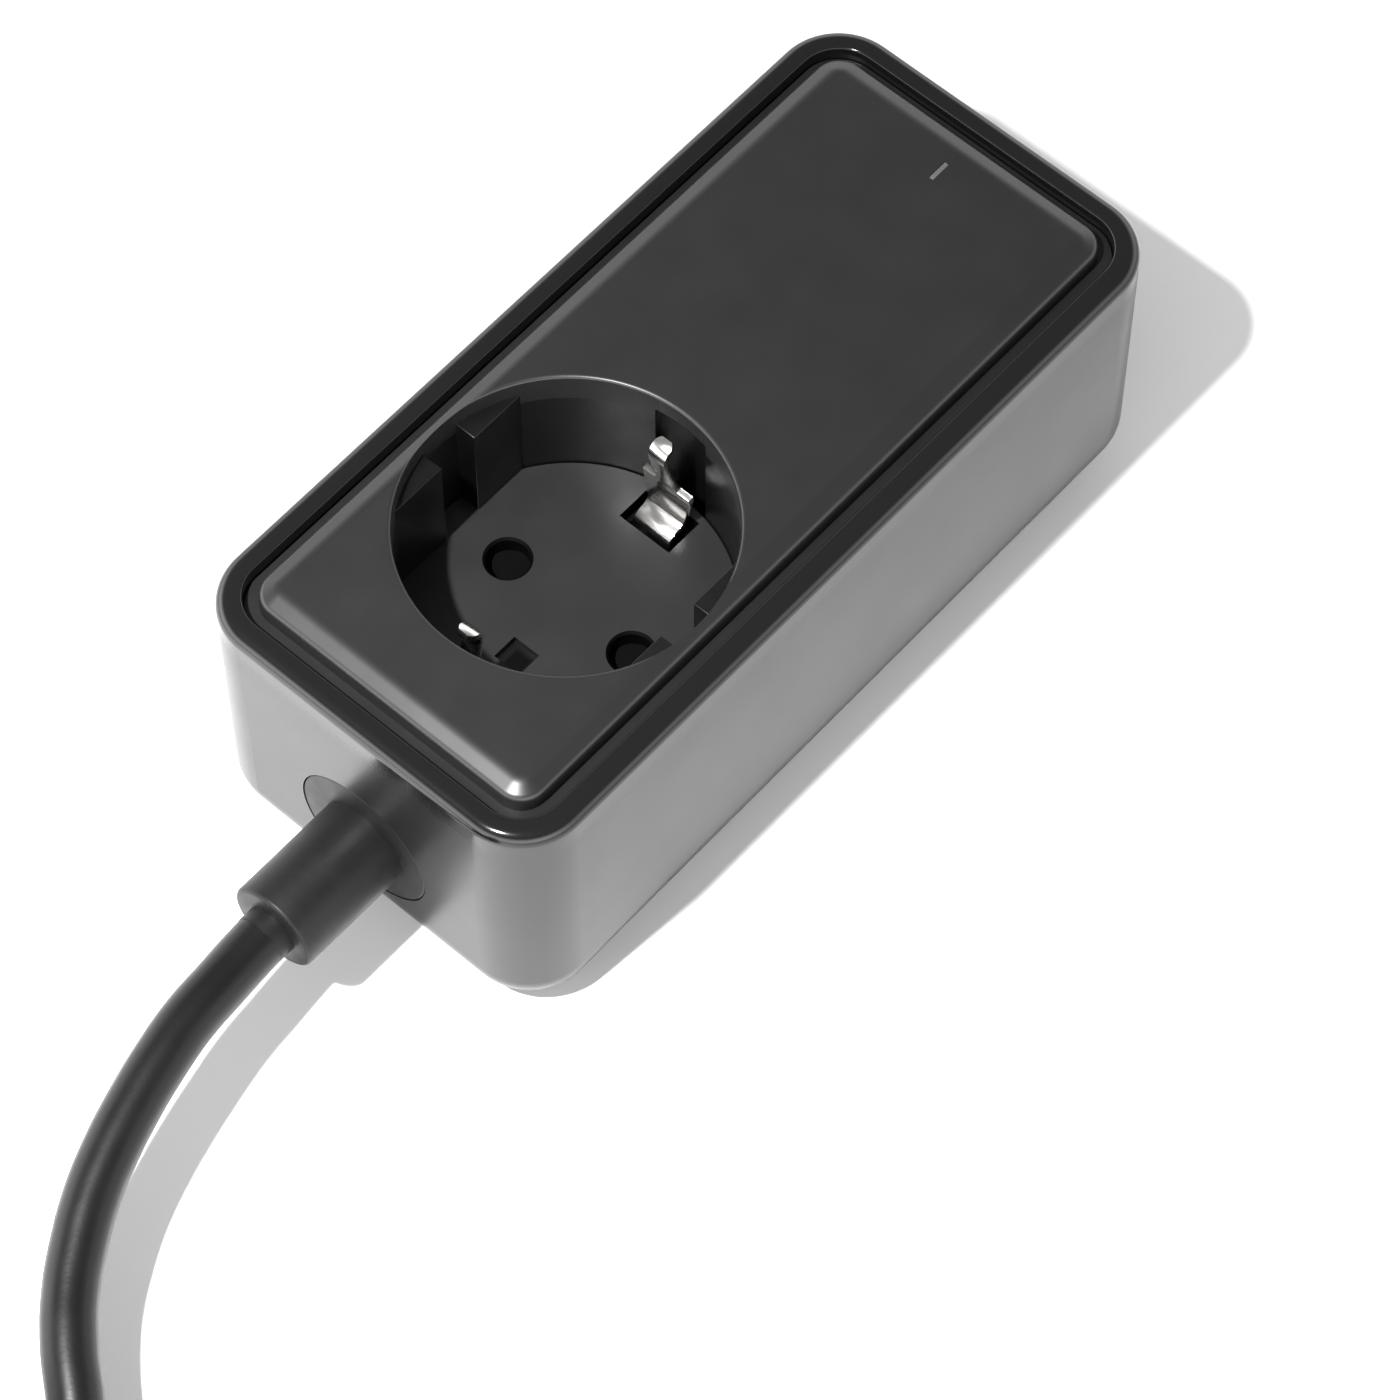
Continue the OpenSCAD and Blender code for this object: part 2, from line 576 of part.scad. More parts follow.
// ---------- inner leads ----------
module wire_live() {
  color([0.45, 0.25, 0.12]) tube([[-42.6, 1.7, 16.1], [-41, 4.5, 15], [-38, 12, 12], [-34, 18, 10],
    [-24, 18.6, 8.5], [-10, 18.6, 9], [-2, 15, 10.5], [1.5, 10, 11], [6.5, 10, 11]], 1.1, 8);
}
module wire_neutral() {
  color([0.12, 0.3, 0.7]) tube([[-42.6, -1.7, 16.1], [-41, -4.5, 15], [-38, -12, 12], [-34, -18, 10],
    [-24, -18.6, 8.5], [-10, -18.6, 9], [-2, -15, 10.5], [1.5, -10, 11], [6.5, -10, 11]], 1.1, 8);
}
module wire_earth() {
  color([0.3, 0.6, 0.15]) tube([[-42.6, 0, 14.4], [-41.3, 0, 13.8], [-40, 0, 14], [-38.9, 0, 15],
    [-38.5, 0, 16.5]], 1.1, 8);
}
module wire_load_live() {
  color([0.25, 0.14, 0.08]) tube([[-13.1, 9.5, 5.9], [-9, 9.5, 6], [-4, 8, 8], [1, 5, 10.8],
    [6.5, 5, 11]], 1.1, 8);
}
module wire_load_neutral() {
  color([0.12, 0.3, 0.7]) tube([[-13.1, -9.5, 5.9], [-9, -9.5, 6], [-4, -8, 8], [1, -5, 10.8],
    [6.5, -5, 11]], 1.1, 8);
}

// ---------- mains lead ----------
module cord() {
  color([0.09, 0.09, 0.09]) tube(cord_route, cord_r, 12);
}
module cord_tail() {
  color([0.09, 0.09, 0.09]) tube(tail_route, cord_r, 12);
}
module cord_coil() {
  color([0.09, 0.09, 0.09]) translate([coil_c[0], coil_c[1], 0]) rotate_extrude()
    polygon([for (q = [[1, 0], [1, 1], [0, 1], [0, 0]]) for (i = [0:4])
      let (a = (q == [1, 0] ? -90 : q == [1, 1] ? 0 : q == [0, 1] ? 90 : 180) + 22.5 * i)
      [(q[0] == 1 ? coil_out : coil_in_r) + cord_r * cos(a), (q[1] == 1 ? coil_top - cord_r : cord_r) + cord_r * sin(a)]]);
}
module coil_tie() {
  x0 = coil_in_r - cord_r;
  x1 = coil_out + cord_r;
  color([0.14, 0.14, 0.14]) translate([coil_c[0], coil_c[1], 0]) rotate([0, 0, tie_at]) difference() {
    box(x0 - 1.2, x1 + 1.2, -5, 5, 0.01, coil_top + 1.2);
    box(x0, x1, -6, 6, -1, coil_top);
  }
}
// plug lying on its back, relief toward +Y, before it is put in its place
module plug_place() {
  translate([plug_c[0], plug_c[1], plug_z]) rotate([0, 0, coil_leave - 180]) children();
}
module plug_body() {
  color([0.12, 0.12, 0.125]) plug_place() difference() {
    union() {
      cylinder(h = 1.5, r1 = plug_r - 1, r2 = plug_r + 0.6);
      translate([0, 0, 1.5]) cylinder(h = plug_back - 1.5, r = plug_r + 0.6);
      translate([0, 0, plug_back - e]) cylinder(h = plug_face - plug_back + e, r = plug_r - 0.3);
      translate([0, 15, plug_cord_z]) rotate([-90, 0, 0])
        cylinder(h = relief_l - 15, r1 = 6.6, r2 = 4.6);
    }
    for (s = [-1, 1]) {
      box(min(s * 15.9, s * 30), max(s * 15.9, s * 30), -2.8, 2.8, plug_back + 1, plug_face + 1);
      box(-2.7, 2.7, min(s * 16, s * 30), max(s * 16, s * 30), plug_back + 8.6, plug_face + 1);
      translate([s * pin_y, 0, plug_face - 8]) cylinder(h = 9, r = 2);
    }
    translate([0, 10, plug_face - 14]) cylinder(h = 20, r = 2.5);
  }
}
module plug_pins() {
  color(metal) plug_place() for (s = [-1, 1]) translate([s * pin_y, 0, 0]) {
    translate([0, 0, plug_face - 7]) cylinder(h = 8, r = 2);
    translate([0, 0, plug_face + 0.5]) cylinder(h = plug_pin - 1.5, r = 2.4);
    translate([0, 0, plug_face + plug_pin - 1 - e]) cylinder(h = 1 + e, r1 = 2.4, r2 = 1.4);
  }
}
module plug_earth() {
  color(metal) plug_place() for (s = [-1, 1]) translate([s * 16.6, 0, 0])
    box(-0.6, 0.6, -2.6, 2.6, plug_back + 1.5, plug_face - 1);
}

// ---------- output ----------
housing();
top_panel();
socket_cup();
socket_floor();
light_pipe();
base_cover();
rubber_feet();
cover_screws();
strain_relief();
sheath_end();
cord_clamp();
clamp_screws();
contact_carrier();
carrier_screws();
shutter();
shutter_spring();
live_contact();
neutral_contact();
earth_strap();
earth_clip_far();
earth_clip_near();
main_board();
board_screws();
relay();
power_module();
capacitors();
film_capacitor();
fuse();
varistor();
terminal_block();
control_board();
wifi_board();
wifi_shield();
status_led();
board_header();
tact_switch();
switch_plunger();
pair_button();
wire_live();
wire_neutral();
wire_earth();
wire_load_live();
wire_load_neutral();
cord();
cord_coil();
coil_tie();
cord_tail();
plug_body();
plug_pins();
plug_earth();
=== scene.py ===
"""Looks of the corded smart socket block. Metres, same frame as the CAD: +X away from the lead, +Z up."""
import math

import bmesh
import bpy
from mathutils import Matrix, Vector


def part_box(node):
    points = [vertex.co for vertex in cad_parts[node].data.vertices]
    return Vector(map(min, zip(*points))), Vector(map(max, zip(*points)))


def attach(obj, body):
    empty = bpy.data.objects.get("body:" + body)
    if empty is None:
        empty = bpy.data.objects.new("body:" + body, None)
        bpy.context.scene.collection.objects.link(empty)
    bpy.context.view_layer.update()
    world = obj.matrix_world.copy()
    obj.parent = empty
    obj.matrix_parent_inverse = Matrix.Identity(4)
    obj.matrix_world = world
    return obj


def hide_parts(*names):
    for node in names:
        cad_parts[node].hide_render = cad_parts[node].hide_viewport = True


MM = 0.001
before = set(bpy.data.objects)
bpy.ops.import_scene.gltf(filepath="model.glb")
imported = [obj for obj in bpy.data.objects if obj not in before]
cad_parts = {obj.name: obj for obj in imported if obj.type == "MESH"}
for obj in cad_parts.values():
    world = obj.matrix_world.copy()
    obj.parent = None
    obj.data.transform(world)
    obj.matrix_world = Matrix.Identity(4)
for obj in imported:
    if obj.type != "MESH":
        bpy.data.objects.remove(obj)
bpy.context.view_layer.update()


def size_of(node):
    """Lowest corner, highest corner and middle of a CAD node, as vectors."""
    lo, hi = (Vector(c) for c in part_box(node))
    return lo, hi, (lo + hi) / 2


# ---------------------------------------------------------------- sizes, from the frame
SHELL_LO, SHELL_HI, _ = size_of("housing")
CUP_LO, CUP_HI, _ = size_of("socket_cup")
BUTTON_LO, BUTTON_HI, BUTTON_MID = size_of("pair_button")
_, COIL_HI, COIL_MID = size_of("cord_coil")
PLUG_LO, PLUG_HI, _ = size_of("plug_body")
_, PINS_HI, PINS_MID = size_of("plug_pins")
_, SHEATH_HI, SHEATH_MID = size_of("sheath_end")
COVER_END = size_of("base_cover")[1].x
BODY_L = SHELL_HI.x - SHELL_LO.x
BODY_W = SHELL_HI.y - SHELL_LO.y
FOOT_T = SHELL_LO.z
RIM_Z = SHELL_HI.z
END_X = SHELL_LO.x
PANEL_Z = size_of("top_panel")[1].z
SOCKET_X = (CUP_LO.x + CUP_HI.x) / 2
CORD_D = SHEATH_HI.y * 2
CORD_R = CORD_D / 2
CORD_Z = SHEATH_MID.z
COLLAR_END = size_of("strain_relief")[0].x
PLUG_C = Vector((PINS_MID.x, PINS_MID.y, PLUG_LO.z))
PLUG_FACE = PLUG_HI.z - PLUG_LO.z

# ---------------------------------------------------------------- sizes of the looks
CORNER_R = 8.3 * MM             # rounding of the upright corners
BASE_R = 6.5 * MM               # rounding of the bottom edge
RIM_R = 1.6 * MM                # rounding of the upper outer edge
RIM_INNER_R = 0.35 * MM
RIM_W = 3.1 * MM                # from the side to the groove
GROOVE_W = 1.8 * MM
GROOVE_Z = 38.5 * MM
LEDGE_Z = RIM_Z - 2.8 * MM      # the panel's flange rests here
PANEL_GAP = 0.15 * MM           # play round the panel and the cover
WALL = 2.4 * MM
WALL_FOOT_Z = 4.4 * MM
EDGE_Z = 39.6 * MM              # the panel's bevel is above this
SOCKET_R = 19.5 * MM
FLOOR_Z = PANEL_Z - 17.5 * MM
MOUTH_R = 0.45 * MM             # rounding of the recess mouth
PIN_Y = 9.5 * MM
PIN_HOLE_R = 2.65 * MM
GUIDE_Y = 16.5 * MM
GUIDE_GAP = 5.4 * MM
GUIDE_Z = PANEL_Z - 2.5 * MM
SLOT_W = 7.6 * MM               # slots for the earth clips
POCKET_X = -8.9 * MM
COLLAR_R = 5.75 * MM
FLANGE_R = 9.3 * MM
FLANGE_RISE = 0.5 * MM          # the flange's middle is above the cord's
BUTTON_R = 3.5 * MM
PLUG_R = 18.3 * MM
PLUG_CORD_Z = 9.5 * MM
RELIEF_L = 30 * MM
POINT = 0.01 * MM               # radius that stands for a lathe's axis


# ---------------------------------------------------------------- camera
def make_camera():
    """The photograph's viewpoint: above the lead's end, looking down along the block."""
    azimuth, elevation, roll = (math.radians(a) for a in (-48.64, 59.65, 0.06))
    back = Vector((math.sin(azimuth) * math.cos(elevation), -math.cos(azimuth) * math.cos(elevation),
                   math.sin(elevation)))
    right = Vector((math.cos(azimuth), math.sin(azimuth), 0))
    up = back.cross(right)
    right, up = (math.cos(roll) * right + math.sin(roll) * up,
                 math.cos(roll) * up - math.sin(roll) * right)
    data = bpy.data.cameras.new("camera")
    aim, distance = Vector((-9.07, -10.05, 0)) * MM, 0.6363
    data.sensor_width = 36
    data.lens = 138.66
    data.clip_start = 0.01
    data.clip_end = 20
    cam = bpy.data.objects.new("camera", data)
    bpy.context.collection.objects.link(cam)
    pose = Matrix((right, up, back)).transposed().to_4x4()
    pose.translation = aim + back * distance
    cam.matrix_world = pose
    bpy.context.scene.camera = cam


make_camera()


# ---------------------------------------------------------------- materials
def fill(node, **values):
    """Sets a shader node's inputs; an underscore in a name stands for a space."""
    for key, value in values.items():
        node.inputs[key.replace("_", " ")].default_value = value
    return node


def new_node(tree, kind, **settings):
    """Adds a shader node with its properties set."""
    made = tree.nodes.new("ShaderNode" + kind)
    for key, value in settings.items():
        setattr(made, key, value)
    return made


class Shader:
    """A Principled material and short calls that add procedural detail to it."""

    def __init__(self, name, color, roughness, **sockets):
        self.mat = bpy.data.materials.new(name)
        self.mat.use_nodes = True
        self.tree = self.mat.node_tree
        self.bsdf = self.tree.nodes["Principled BSDF"]
        fill(self.bsdf, Base_Color=(*color, 1), Roughness=roughness, **sockets)
        self.coords = self.tree.nodes.new("ShaderNodeTexCoord").outputs["Object"]
        self.last_normal = None

    def node(self, kind, **settings):
        return new_node(self.tree, kind, **settings)

    def link(self, source, target):
        self.tree.links.new(source, target)

    def noise(self, scale, detail=3.0, stretch=None):
        tex = fill(self.node("TexNoise"), Scale=scale, Detail=detail)
        self.link(self.mapped(stretch), tex.inputs["Vector"])
        return tex.outputs["Fac"]

    def mapped(self, stretch):
        if not stretch:
            return self.coords
        mapping = fill(self.node("Mapping"), Scale=stretch)
        self.link(self.coords, mapping.inputs["Vector"])
        return mapping.outputs["Vector"]

    def voronoi(self, scale):
        tex = fill(self.node("TexVoronoi", feature="SMOOTH_F1"), Scale=scale)
        self.link(self.coords, tex.inputs["Vector"])
        return tex.outputs["Distance"]

    def wave(self, scale, direction):
        tex = fill(self.node("TexWave", bands_direction=direction), Scale=scale)
        self.link(self.coords, tex.inputs["Vector"])
        return tex.outputs["Fac"]

    def span(self, value, low, high):
        """Stretches the middle of a 0 to 1 value over low to high."""
        rng = fill(self.node("MapRange"), From_Min=0.3, From_Max=0.7, To_Min=low, To_Max=high)
        self.link(value, rng.inputs["Value"])
        return rng.outputs["Result"]

    def vary_roughness(self, value, low, high):
        self.link(self.span(value, low, high), self.bsdf.inputs["Roughness"])
        return self

    def polish_upwards(self, value, low, high):
        """Roughness that goes from one (height, roughness) to another, with a little mottling."""
        split = self.node("SeparateXYZ")
        self.link(self.coords, split.inputs["Vector"])
        climb = fill(self.node("MapRange", interpolation_type="SMOOTHSTEP"),
                     From_Min=low[0], From_Max=high[0], To_Min=low[1], To_Max=high[1])
        self.link(split.outputs["Z"], climb.inputs["Value"])
        total = self.node("Math", operation="ADD")
        self.link(climb.outputs["Result"], total.inputs[0])
        self.link(self.span(value, -0.02, 0.02), total.inputs[1])
        self.link(total.outputs["Value"], self.bsdf.inputs["Roughness"])
        return self

    def vary_color(self, value, color_a, color_b):
        ramp = self.node("ValToRGB")
        for stop, color, place in zip(ramp.color_ramp.elements, (color_a, color_b), (0.35, 0.65)):
            stop.color = (*color, 1)
            stop.position = place
        self.link(value, ramp.inputs["Fac"])
        self.link(ramp.outputs["Color"], self.bsdf.inputs["Base Color"])
        return self

    def bump(self, value, height):
        bump = fill(self.node("Bump"), Distance=height)
        self.link(value, bump.inputs["Height"])
        if self.last_normal:
            self.link(self.last_normal, bump.inputs["Normal"])
        self.last_normal = bump.outputs["Normal"]
        self.link(self.last_normal, self.bsdf.inputs["Normal"])
        return self


def grey(v):
    """A dark grey with a trace of blue."""
    return (v, v, v * 1.02)


def make_materials():
    made = {}

    def add(name, shader):
        made[name] = shader.mat

    s = Shader("shell_satin", grey(0.006), 0.28)
    s.polish_upwards(s.noise(90, 4), (RIM_Z - 5 * MM, 0.3), (RIM_Z - 0.9 * MM, 0.14))
    s.bump(s.noise(5200, 2), 0.003 * MM)
    add("shell", s)
    s = Shader("panel_matt", grey(0.0105), 0.42, Specular_IOR_Level=0.4)
    s.vary_roughness(s.noise(140, 4), 0.39, 0.46)
    s.bump(s.noise(6500, 2), 0.006 * MM)
    add("panel", s)
    s = Shader("panel_edge", grey(0.009), 0.36, Specular_IOR_Level=0.62)
    s.vary_roughness(s.noise(140, 4), 0.34, 0.38)
    add("panel_edge", s)
    # Painted shade and light in the recess: its walls get a far darker copy (0.0025) of the same black
    # plastic than its floor (0.019), which gets a lighter, lit copy; the dark wall copy also lines the
    # floor's small pocket.
    s = Shader("cup_satin_shaded", grey(0.0025), 0.3, Specular_IOR_Level=0.45)
    s.vary_roughness(s.noise(160, 4), 0.28, 0.38)
    s.bump(s.noise(4000, 2), 0.004 * MM)
    add("cup_shaded", s)
    s = Shader("cup_floor_lit", grey(0.019), 0.36)
    s.vary_roughness(s.noise(160, 4), 0.32, 0.42)
    s.bump(s.noise(4000, 2), 0.004 * MM)
    add("cup_floor_lit", s)
    s = Shader("collar_soft", grey(0.006), 0.5, Specular_IOR_Level=0.25)
    s.vary_roughness(s.noise(300, 4), 0.4, 0.5)
    s.bump(s.noise(5000, 3), 0.01 * MM)
    add("collar", s)
    s = Shader("cord_sheath", grey(0.004), 0.36, Specular_IOR_Level=0.3)
    s.vary_roughness(s.noise(120, 5), 0.32, 0.42)
    s.bump(s.noise(2200, 3), 0.012 * MM).bump(s.noise(220, 2), 0.03 * MM)
    add("cord", s)
    # The shutter's own black, kept near black with almost no reflection; it is also the painted shade on the
    # walls of the floor's pin holes and clip slots.
    s = Shader("shutter_black_hole_shade", grey(0.0012), 0.6, Specular_IOR_Level=0.08)
    s.vary_roughness(s.noise(400, 3), 0.55, 0.68)
    add("shutter", s)
    s = Shader("foot_rubber", grey(0.03), 0.75)
    s.bump(s.noise(2600, 4), 0.02 * MM)
    add("rubber", s)
    s = Shader("tie_weave", grey(0.007), 0.85, Sheen_Weight=0.05)
    s.bump(s.wave(900, "X"), 0.06 * MM).bump(s.wave(900, "Y"), 0.06 * MM)
    add("tie", s)
    s = Shader("nickel", (0.83, 0.82, 0.8), 0.2, Metallic=1.0)
    s.vary_roughness(s.noise(500, 4, (1, 1, 8)), 0.14, 0.28)
    s.bump(s.noise(1800, 3), 0.003 * MM)
    add("nickel", s)
    s = Shader("zinc", (0.66, 0.66, 0.64), 0.36, Metallic=1.0)
    s.vary_roughness(s.noise(700, 4), 0.3, 0.45)
    add("zinc", s)
    s = Shader("brass", (0.78, 0.58, 0.28), 0.3, Metallic=1.0)
    s.vary_roughness(s.noise(600, 4), 0.22, 0.4)
    add("brass", s)
    s = Shader("light_window", (0.085, 0.09, 0.095), 0.35)
    s.vary_roughness(s.noise(900, 2), 0.3, 0.42)
    add("window", s)
    s = Shader("lens", (0.8, 0.8, 0.62), 0.15)
    s.vary_roughness(s.noise(900, 2), 0.1, 0.2)
    add("lens", s)
    for name, color_a, color_b, rough in (
            ("natural", (0.62, 0.6, 0.54), (0.68, 0.66, 0.6), 0.5),
            ("dark_plastic", (0.03, 0.03, 0.03), (0.04, 0.04, 0.042), 0.5),
            ("relay_case", (0.02, 0.08, 0.3), (0.03, 0.1, 0.34), 0.35),
            ("potting", (0.012, 0.012, 0.012), (0.02, 0.02, 0.02), 0.55),
            ("sleeve", (0.02, 0.025, 0.1), (0.03, 0.035, 0.13), 0.3),
            ("film_case", (0.6, 0.42, 0.04), (0.66, 0.48, 0.06), 0.35),
            ("fuse_case", (0.4, 0.34, 0.24), (0.46, 0.4, 0.3), 0.4),
            ("epoxy", (0.015, 0.08, 0.28), (0.02, 0.11, 0.34), 0.3),
            ("terminal", (0.02, 0.2, 0.07), (0.03, 0.24, 0.09), 0.45),
            ("wire_brown", (0.12, 0.045, 0.02), (0.15, 0.06, 0.03), 0.45),
            ("wire_blue", (0.02, 0.07, 0.35), (0.03, 0.09, 0.4), 0.45),
            ("wire_green", (0.07, 0.28, 0.03), (0.09, 0.33, 0.04), 0.45)):
        s = Shader(name, color_a, rough)
        s.vary_color(s.noise(260, 4), color_a, color_b)
        s.bump(s.noise(1500, 3), 0.01 * MM)
        add(name, s)
    for name, mask, copper in (("board", (0.01, 0.11, 0.035), (0.02, 0.19, 0.07)),
                               ("navy_board", (0.005, 0.012, 0.06), (0.012, 0.03, 0.12))):
        s = Shader(name, mask, 0.3)
        s.vary_color(s.voronoi(420), mask, copper)
        s.bump(s.voronoi(420), 0.03 * MM)
        add(name, s)
    return made


MATS = make_materials()


def paint(obj, name):
    """One material for the whole piece."""
    obj.data.materials.clear()
    obj.data.materials.append(MATS[name])


def repaint(obj, name, where):
    """A second material on the faces for which where(face) holds."""
    obj.data.materials.append(MATS[name])
    for face in obj.data.polygons:
        if where(face):
            face.material_index = len(obj.data.materials) - 1
    return obj


# ---------------------------------------------------------------- mesh helpers
def add_mesh(name, verts, faces):
    mesh = bpy.data.meshes.new(name)
    mesh.from_pydata([tuple(v) for v in verts], [], faces)
    mesh.validate()
    obj = bpy.data.objects.new(name, mesh)
    bpy.context.collection.objects.link(obj)
    tidy_normals(obj)
    return obj


def tidy_normals(obj):
    work = bmesh.new()
    work.from_mesh(obj.data)
    bmesh.ops.remove_doubles(work, verts=work.verts, dist=1e-7)
    bmesh.ops.recalc_face_normals(work, faces=work.faces)
    work.to_mesh(obj.data)
    work.free()


def smooth(obj, degrees=32):
    """Smooth shading with crisp edges above an angle; faces with many sides stay flat."""
    obj.data.shade_smooth()
    obj.data.set_sharp_from_angle(angle=math.radians(degrees))
    for face in obj.data.polygons:
        if len(face.vertices) > 8:
            face.use_smooth = False
    return obj


def loft(name, rings, loop=False):
    """Skin over rings of equal length; loop joins the last ring to the first, else both ends are closed."""
    n, last = len(rings[0]), len(rings) - 1
    verts = [p for ring in rings for p in ring]
    pairs = [(i, i + 1) for i in range(last)]
    if loop:
        pairs.append((last, 0))
    faces = [(a * n + k, a * n + (k + 1) % n, b * n + (k + 1) % n, b * n + k)
             for a, b in pairs for k in range(n)]
    if not loop:
        faces.append(tuple(range(n - 1, -1, -1)))
        faces.append(tuple(last * n + k for k in range(n)))
    return add_mesh(name, verts, faces)


def block_ring(inset, z, steps=12):
    """The block's outline in plan, moved in by inset, at height z."""
    half_l, half_w = BODY_L / 2 - inset, BODY_W / 2 - inset
    r = max(CORNER_R - inset, 0.6 * MM)
    ring = []
    for quarter, (sx, sy) in enumerate(((1, 1), (-1, 1), (-1, -1), (1, -1))):
        for i in range(steps + 1):
            a = math.radians(90 * quarter + 90 * i / steps)
            ring.append((sx * (half_l - r) + r * math.cos(a), sy * (half_w - r) + r * math.sin(a), z))
    return ring


def arc(center, radius, start, end, steps):
    """Points of an arc in a two-column profile, angles in degrees."""
    angles = [math.radians(start + (end - start) * i / steps) for i in range(steps + 1)]
    return [(center[0] + radius * math.cos(a), center[1] + radius * math.sin(a)) for a in angles]


def lathe(name, profile, segments=96, place=None, loop=False):
    """Turns a profile of (radius, height) about Z, then moves it by the matrix place."""
    angles = [2 * math.pi * k / segments for k in range(segments)]
    obj = loft(name, [[(r * math.cos(a), r * math.sin(a), z) for a in angles] for r, z in profile], loop)
    if place is not None:
        obj.data.transform(place)
    return obj


def rod(name, radius, low, high, segments, place):
    """Plain cylinder from low to high on the axis that place gives."""
    return lathe(name, [(radius, low), (radius, high)], segments, place)


def along_x(x, y, z):
    """Matrix that turns a lathe's Z axis to +X and puts its foot at a point."""
    return Matrix.Translation((x, y, z)) @ Matrix.Rotation(math.pi / 2, 4, "Y")


AT_SOCKET = Matrix.Translation((SOCKET_X, 0, 0))


def cuboid(name, lo, hi):
    """Box between two corners."""
    verts = [(x, y, z) for x in (lo[0], hi[0]) for y in (lo[1], hi[1]) for z in (lo[2], hi[2])]
    faces = [(0, 1, 3, 2), (4, 6, 7, 5), (0, 4, 5, 1), (2, 3, 7, 6), (0, 2, 6, 4), (1, 5, 7, 3)]
    return add_mesh(name, verts, faces)


def side_box(name, side, near, far, width, low, high):
    """Box over the X axis, from near to far on one side of the origin."""
    ends = sorted((side * near, side * far))
    return cuboid(name, (ends[0], -width / 2, low), (ends[1], width / 2, high))


def apply_modifiers(obj):
    graph = bpy.context.evaluated_depsgraph_get()
    mesh = bpy.data.meshes.new_from_object(obj.evaluated_get(graph))
    obj.modifiers.clear()
    obj.data = mesh


def cut(obj, tools, operation="DIFFERENCE"):
    for tool in tools:
        mod = obj.modifiers.new("cut", "BOOLEAN")
        mod.operation = operation
        mod.solver = "EXACT"
        mod.object = tool
        apply_modifiers(obj)
        bpy.data.objects.remove(tool)
    return obj


def soften(obj, width, segments=3, angle=30):
    """Rounds every edge sharper than an angle."""
    mod = obj.modifiers.new("edges", "BEVEL")
    mod.width = width
    mod.segments = segments
    mod.limit_method = "ANGLE"
    mod.angle_limit = math.radians(angle)
    mod.miter_outer = "MITER_ARC"
    apply_modifiers(obj)
    return obj


def install(obj, body, mat, *nodes):
    """Material, body and CAD node of a finished piece."""
    paint(obj, mat)
    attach(obj, body)
    if nodes:
        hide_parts(*nodes)
    return obj


# ---------------------------------------------------------------- mains lead
COIL_C = Vector((COIL_MID.x, COIL_MID.y))
COIL_IN = 27 * MM
COIL_OUT = COIL_HI.x - COIL_MID.x - CORD_R
COIL_LAYERS = 4
COIL_ENTER, COIL_LEAVE = 290, 105      # directions from the coil's middle, degrees
TAIL_TURN = 27 * MM
TAIL_LEAD = 25
CLIMB = 100                            # degrees in which the lead climbs a layer
# From the collar to where the coil starts, in mm
LEAD_ROUTE = [
    (-70, 0, 16.1), (-71.5, 0, 16.1), (-74.5, -0.2, 16.2), (-78.6, -0.6, 16.4),
    (-84.6, -1.2, 16.6), (-90.1, -2.3, 16.5), (-95.8, -3.7, 16), (-101.3, -5.4, 15.3),
    (-106.3, -7.4, 14.5), (-111.2, -10.1, 13.6), (-115.7, -13.2, 12.8), (-119.8, -17, 12.1),
    (-124, -22, 11), (-130.7, -29.1, 8.7), (-138.1, -35.6, 6.2), (-146.1, -41.2, 4.3),
    (-154.7, -45.9, 3.4)]


def toward(degrees):
    """Unit vector in plan."""
    return Vector((math.cos(math.radians(degrees)), math.sin(math.radians(degrees))))


def ease(t):
    """Smooth step from 0 to 1."""
    t = min(max(t, 0), 1)
    return 3 * t * t - 2 * t * t * t


def coil_points(per_turn=18):
    """Clockwise in four layers, inwards, outwards, inwards and outwards, each climbing onto the last."""
    total = 6 * 360 + COIL_ENTER - COIL_LEAVE - TAIL_LEAD
    steps = round(total / 360 * per_turn)
    per_layer = (total + TAIL_LEAD) / COIL_LAYERS
    points = []
    for i in range(steps + 1):
        turned = total * i / steps
        layer, part = divmod(turned / per_layer, 1)
        across = part if layer % 2 else 1 - part
        lift = sum(ease((turned - per_layer * k) / CLIMB + 0.5) for k in range(1, COIL_LAYERS))
        flat = COIL_C + (COIL_IN + (COIL_OUT - COIL_IN) * across) * toward(COIL_ENTER - turned)
        points.append((*flat, CORD_R + CORD_D * lift))
    return points


def tail_points():
    """Off the top layer and round over the coil, rising to the plug that lies on it."""
    low, high = COIL_HI.z - CORD_R, PLUG_LO.z + PLUG_CORD_Z
    center = COIL_C + (COIL_OUT - TAIL_TURN) * toward(COIL_LEAVE)
    places = [(COIL_C + COIL_OUT * toward(COIL_LEAVE + TAIL_LEAD * (1 - i / 3)), 0.06 * i) for i in (1, 2)]
    places += [(center + TAIL_TURN * toward(COIL_LEAVE - 15 * i), 0.18 + 0.075 * i) for i in range(13)]
    places += [(places[-1][0] + 5 * MM * toward(COIL_LEAVE + 90), 1)]
    return [(*flat, low + (high - low) * ease(t)) for flat, t in places]


def make_lead():
    """The whole lead as one round curve, from the collar over the coil to the plug."""
    route = [tuple(c * MM for c in p) for p in LEAD_ROUTE] + coil_points() + tail_points()
    curve = bpy.data.curves.new("mains_lead", "CURVE")
    curve.dimensions = "3D"
    spline = curve.splines.new("BEZIER")
    spline.bezier_points.add(len(route) - 1)
    for point, place in zip(spline.bezier_points, route):
        point.co = place
        point.handle_left_type = point.handle_right_type = "AUTO"
    spline.resolution_u = 6
    curve.bevel_depth = CORD_R
    curve.bevel_resolution = 7
    curve.use_fill_caps = True
    lead = bpy.data.objects.new("mains_lead", curve)
    bpy.context.collection.objects.link(lead)
    return install(lead, "block", "cord", "cord", "cord_tail", "cord_coil")


LEAD = make_lead()


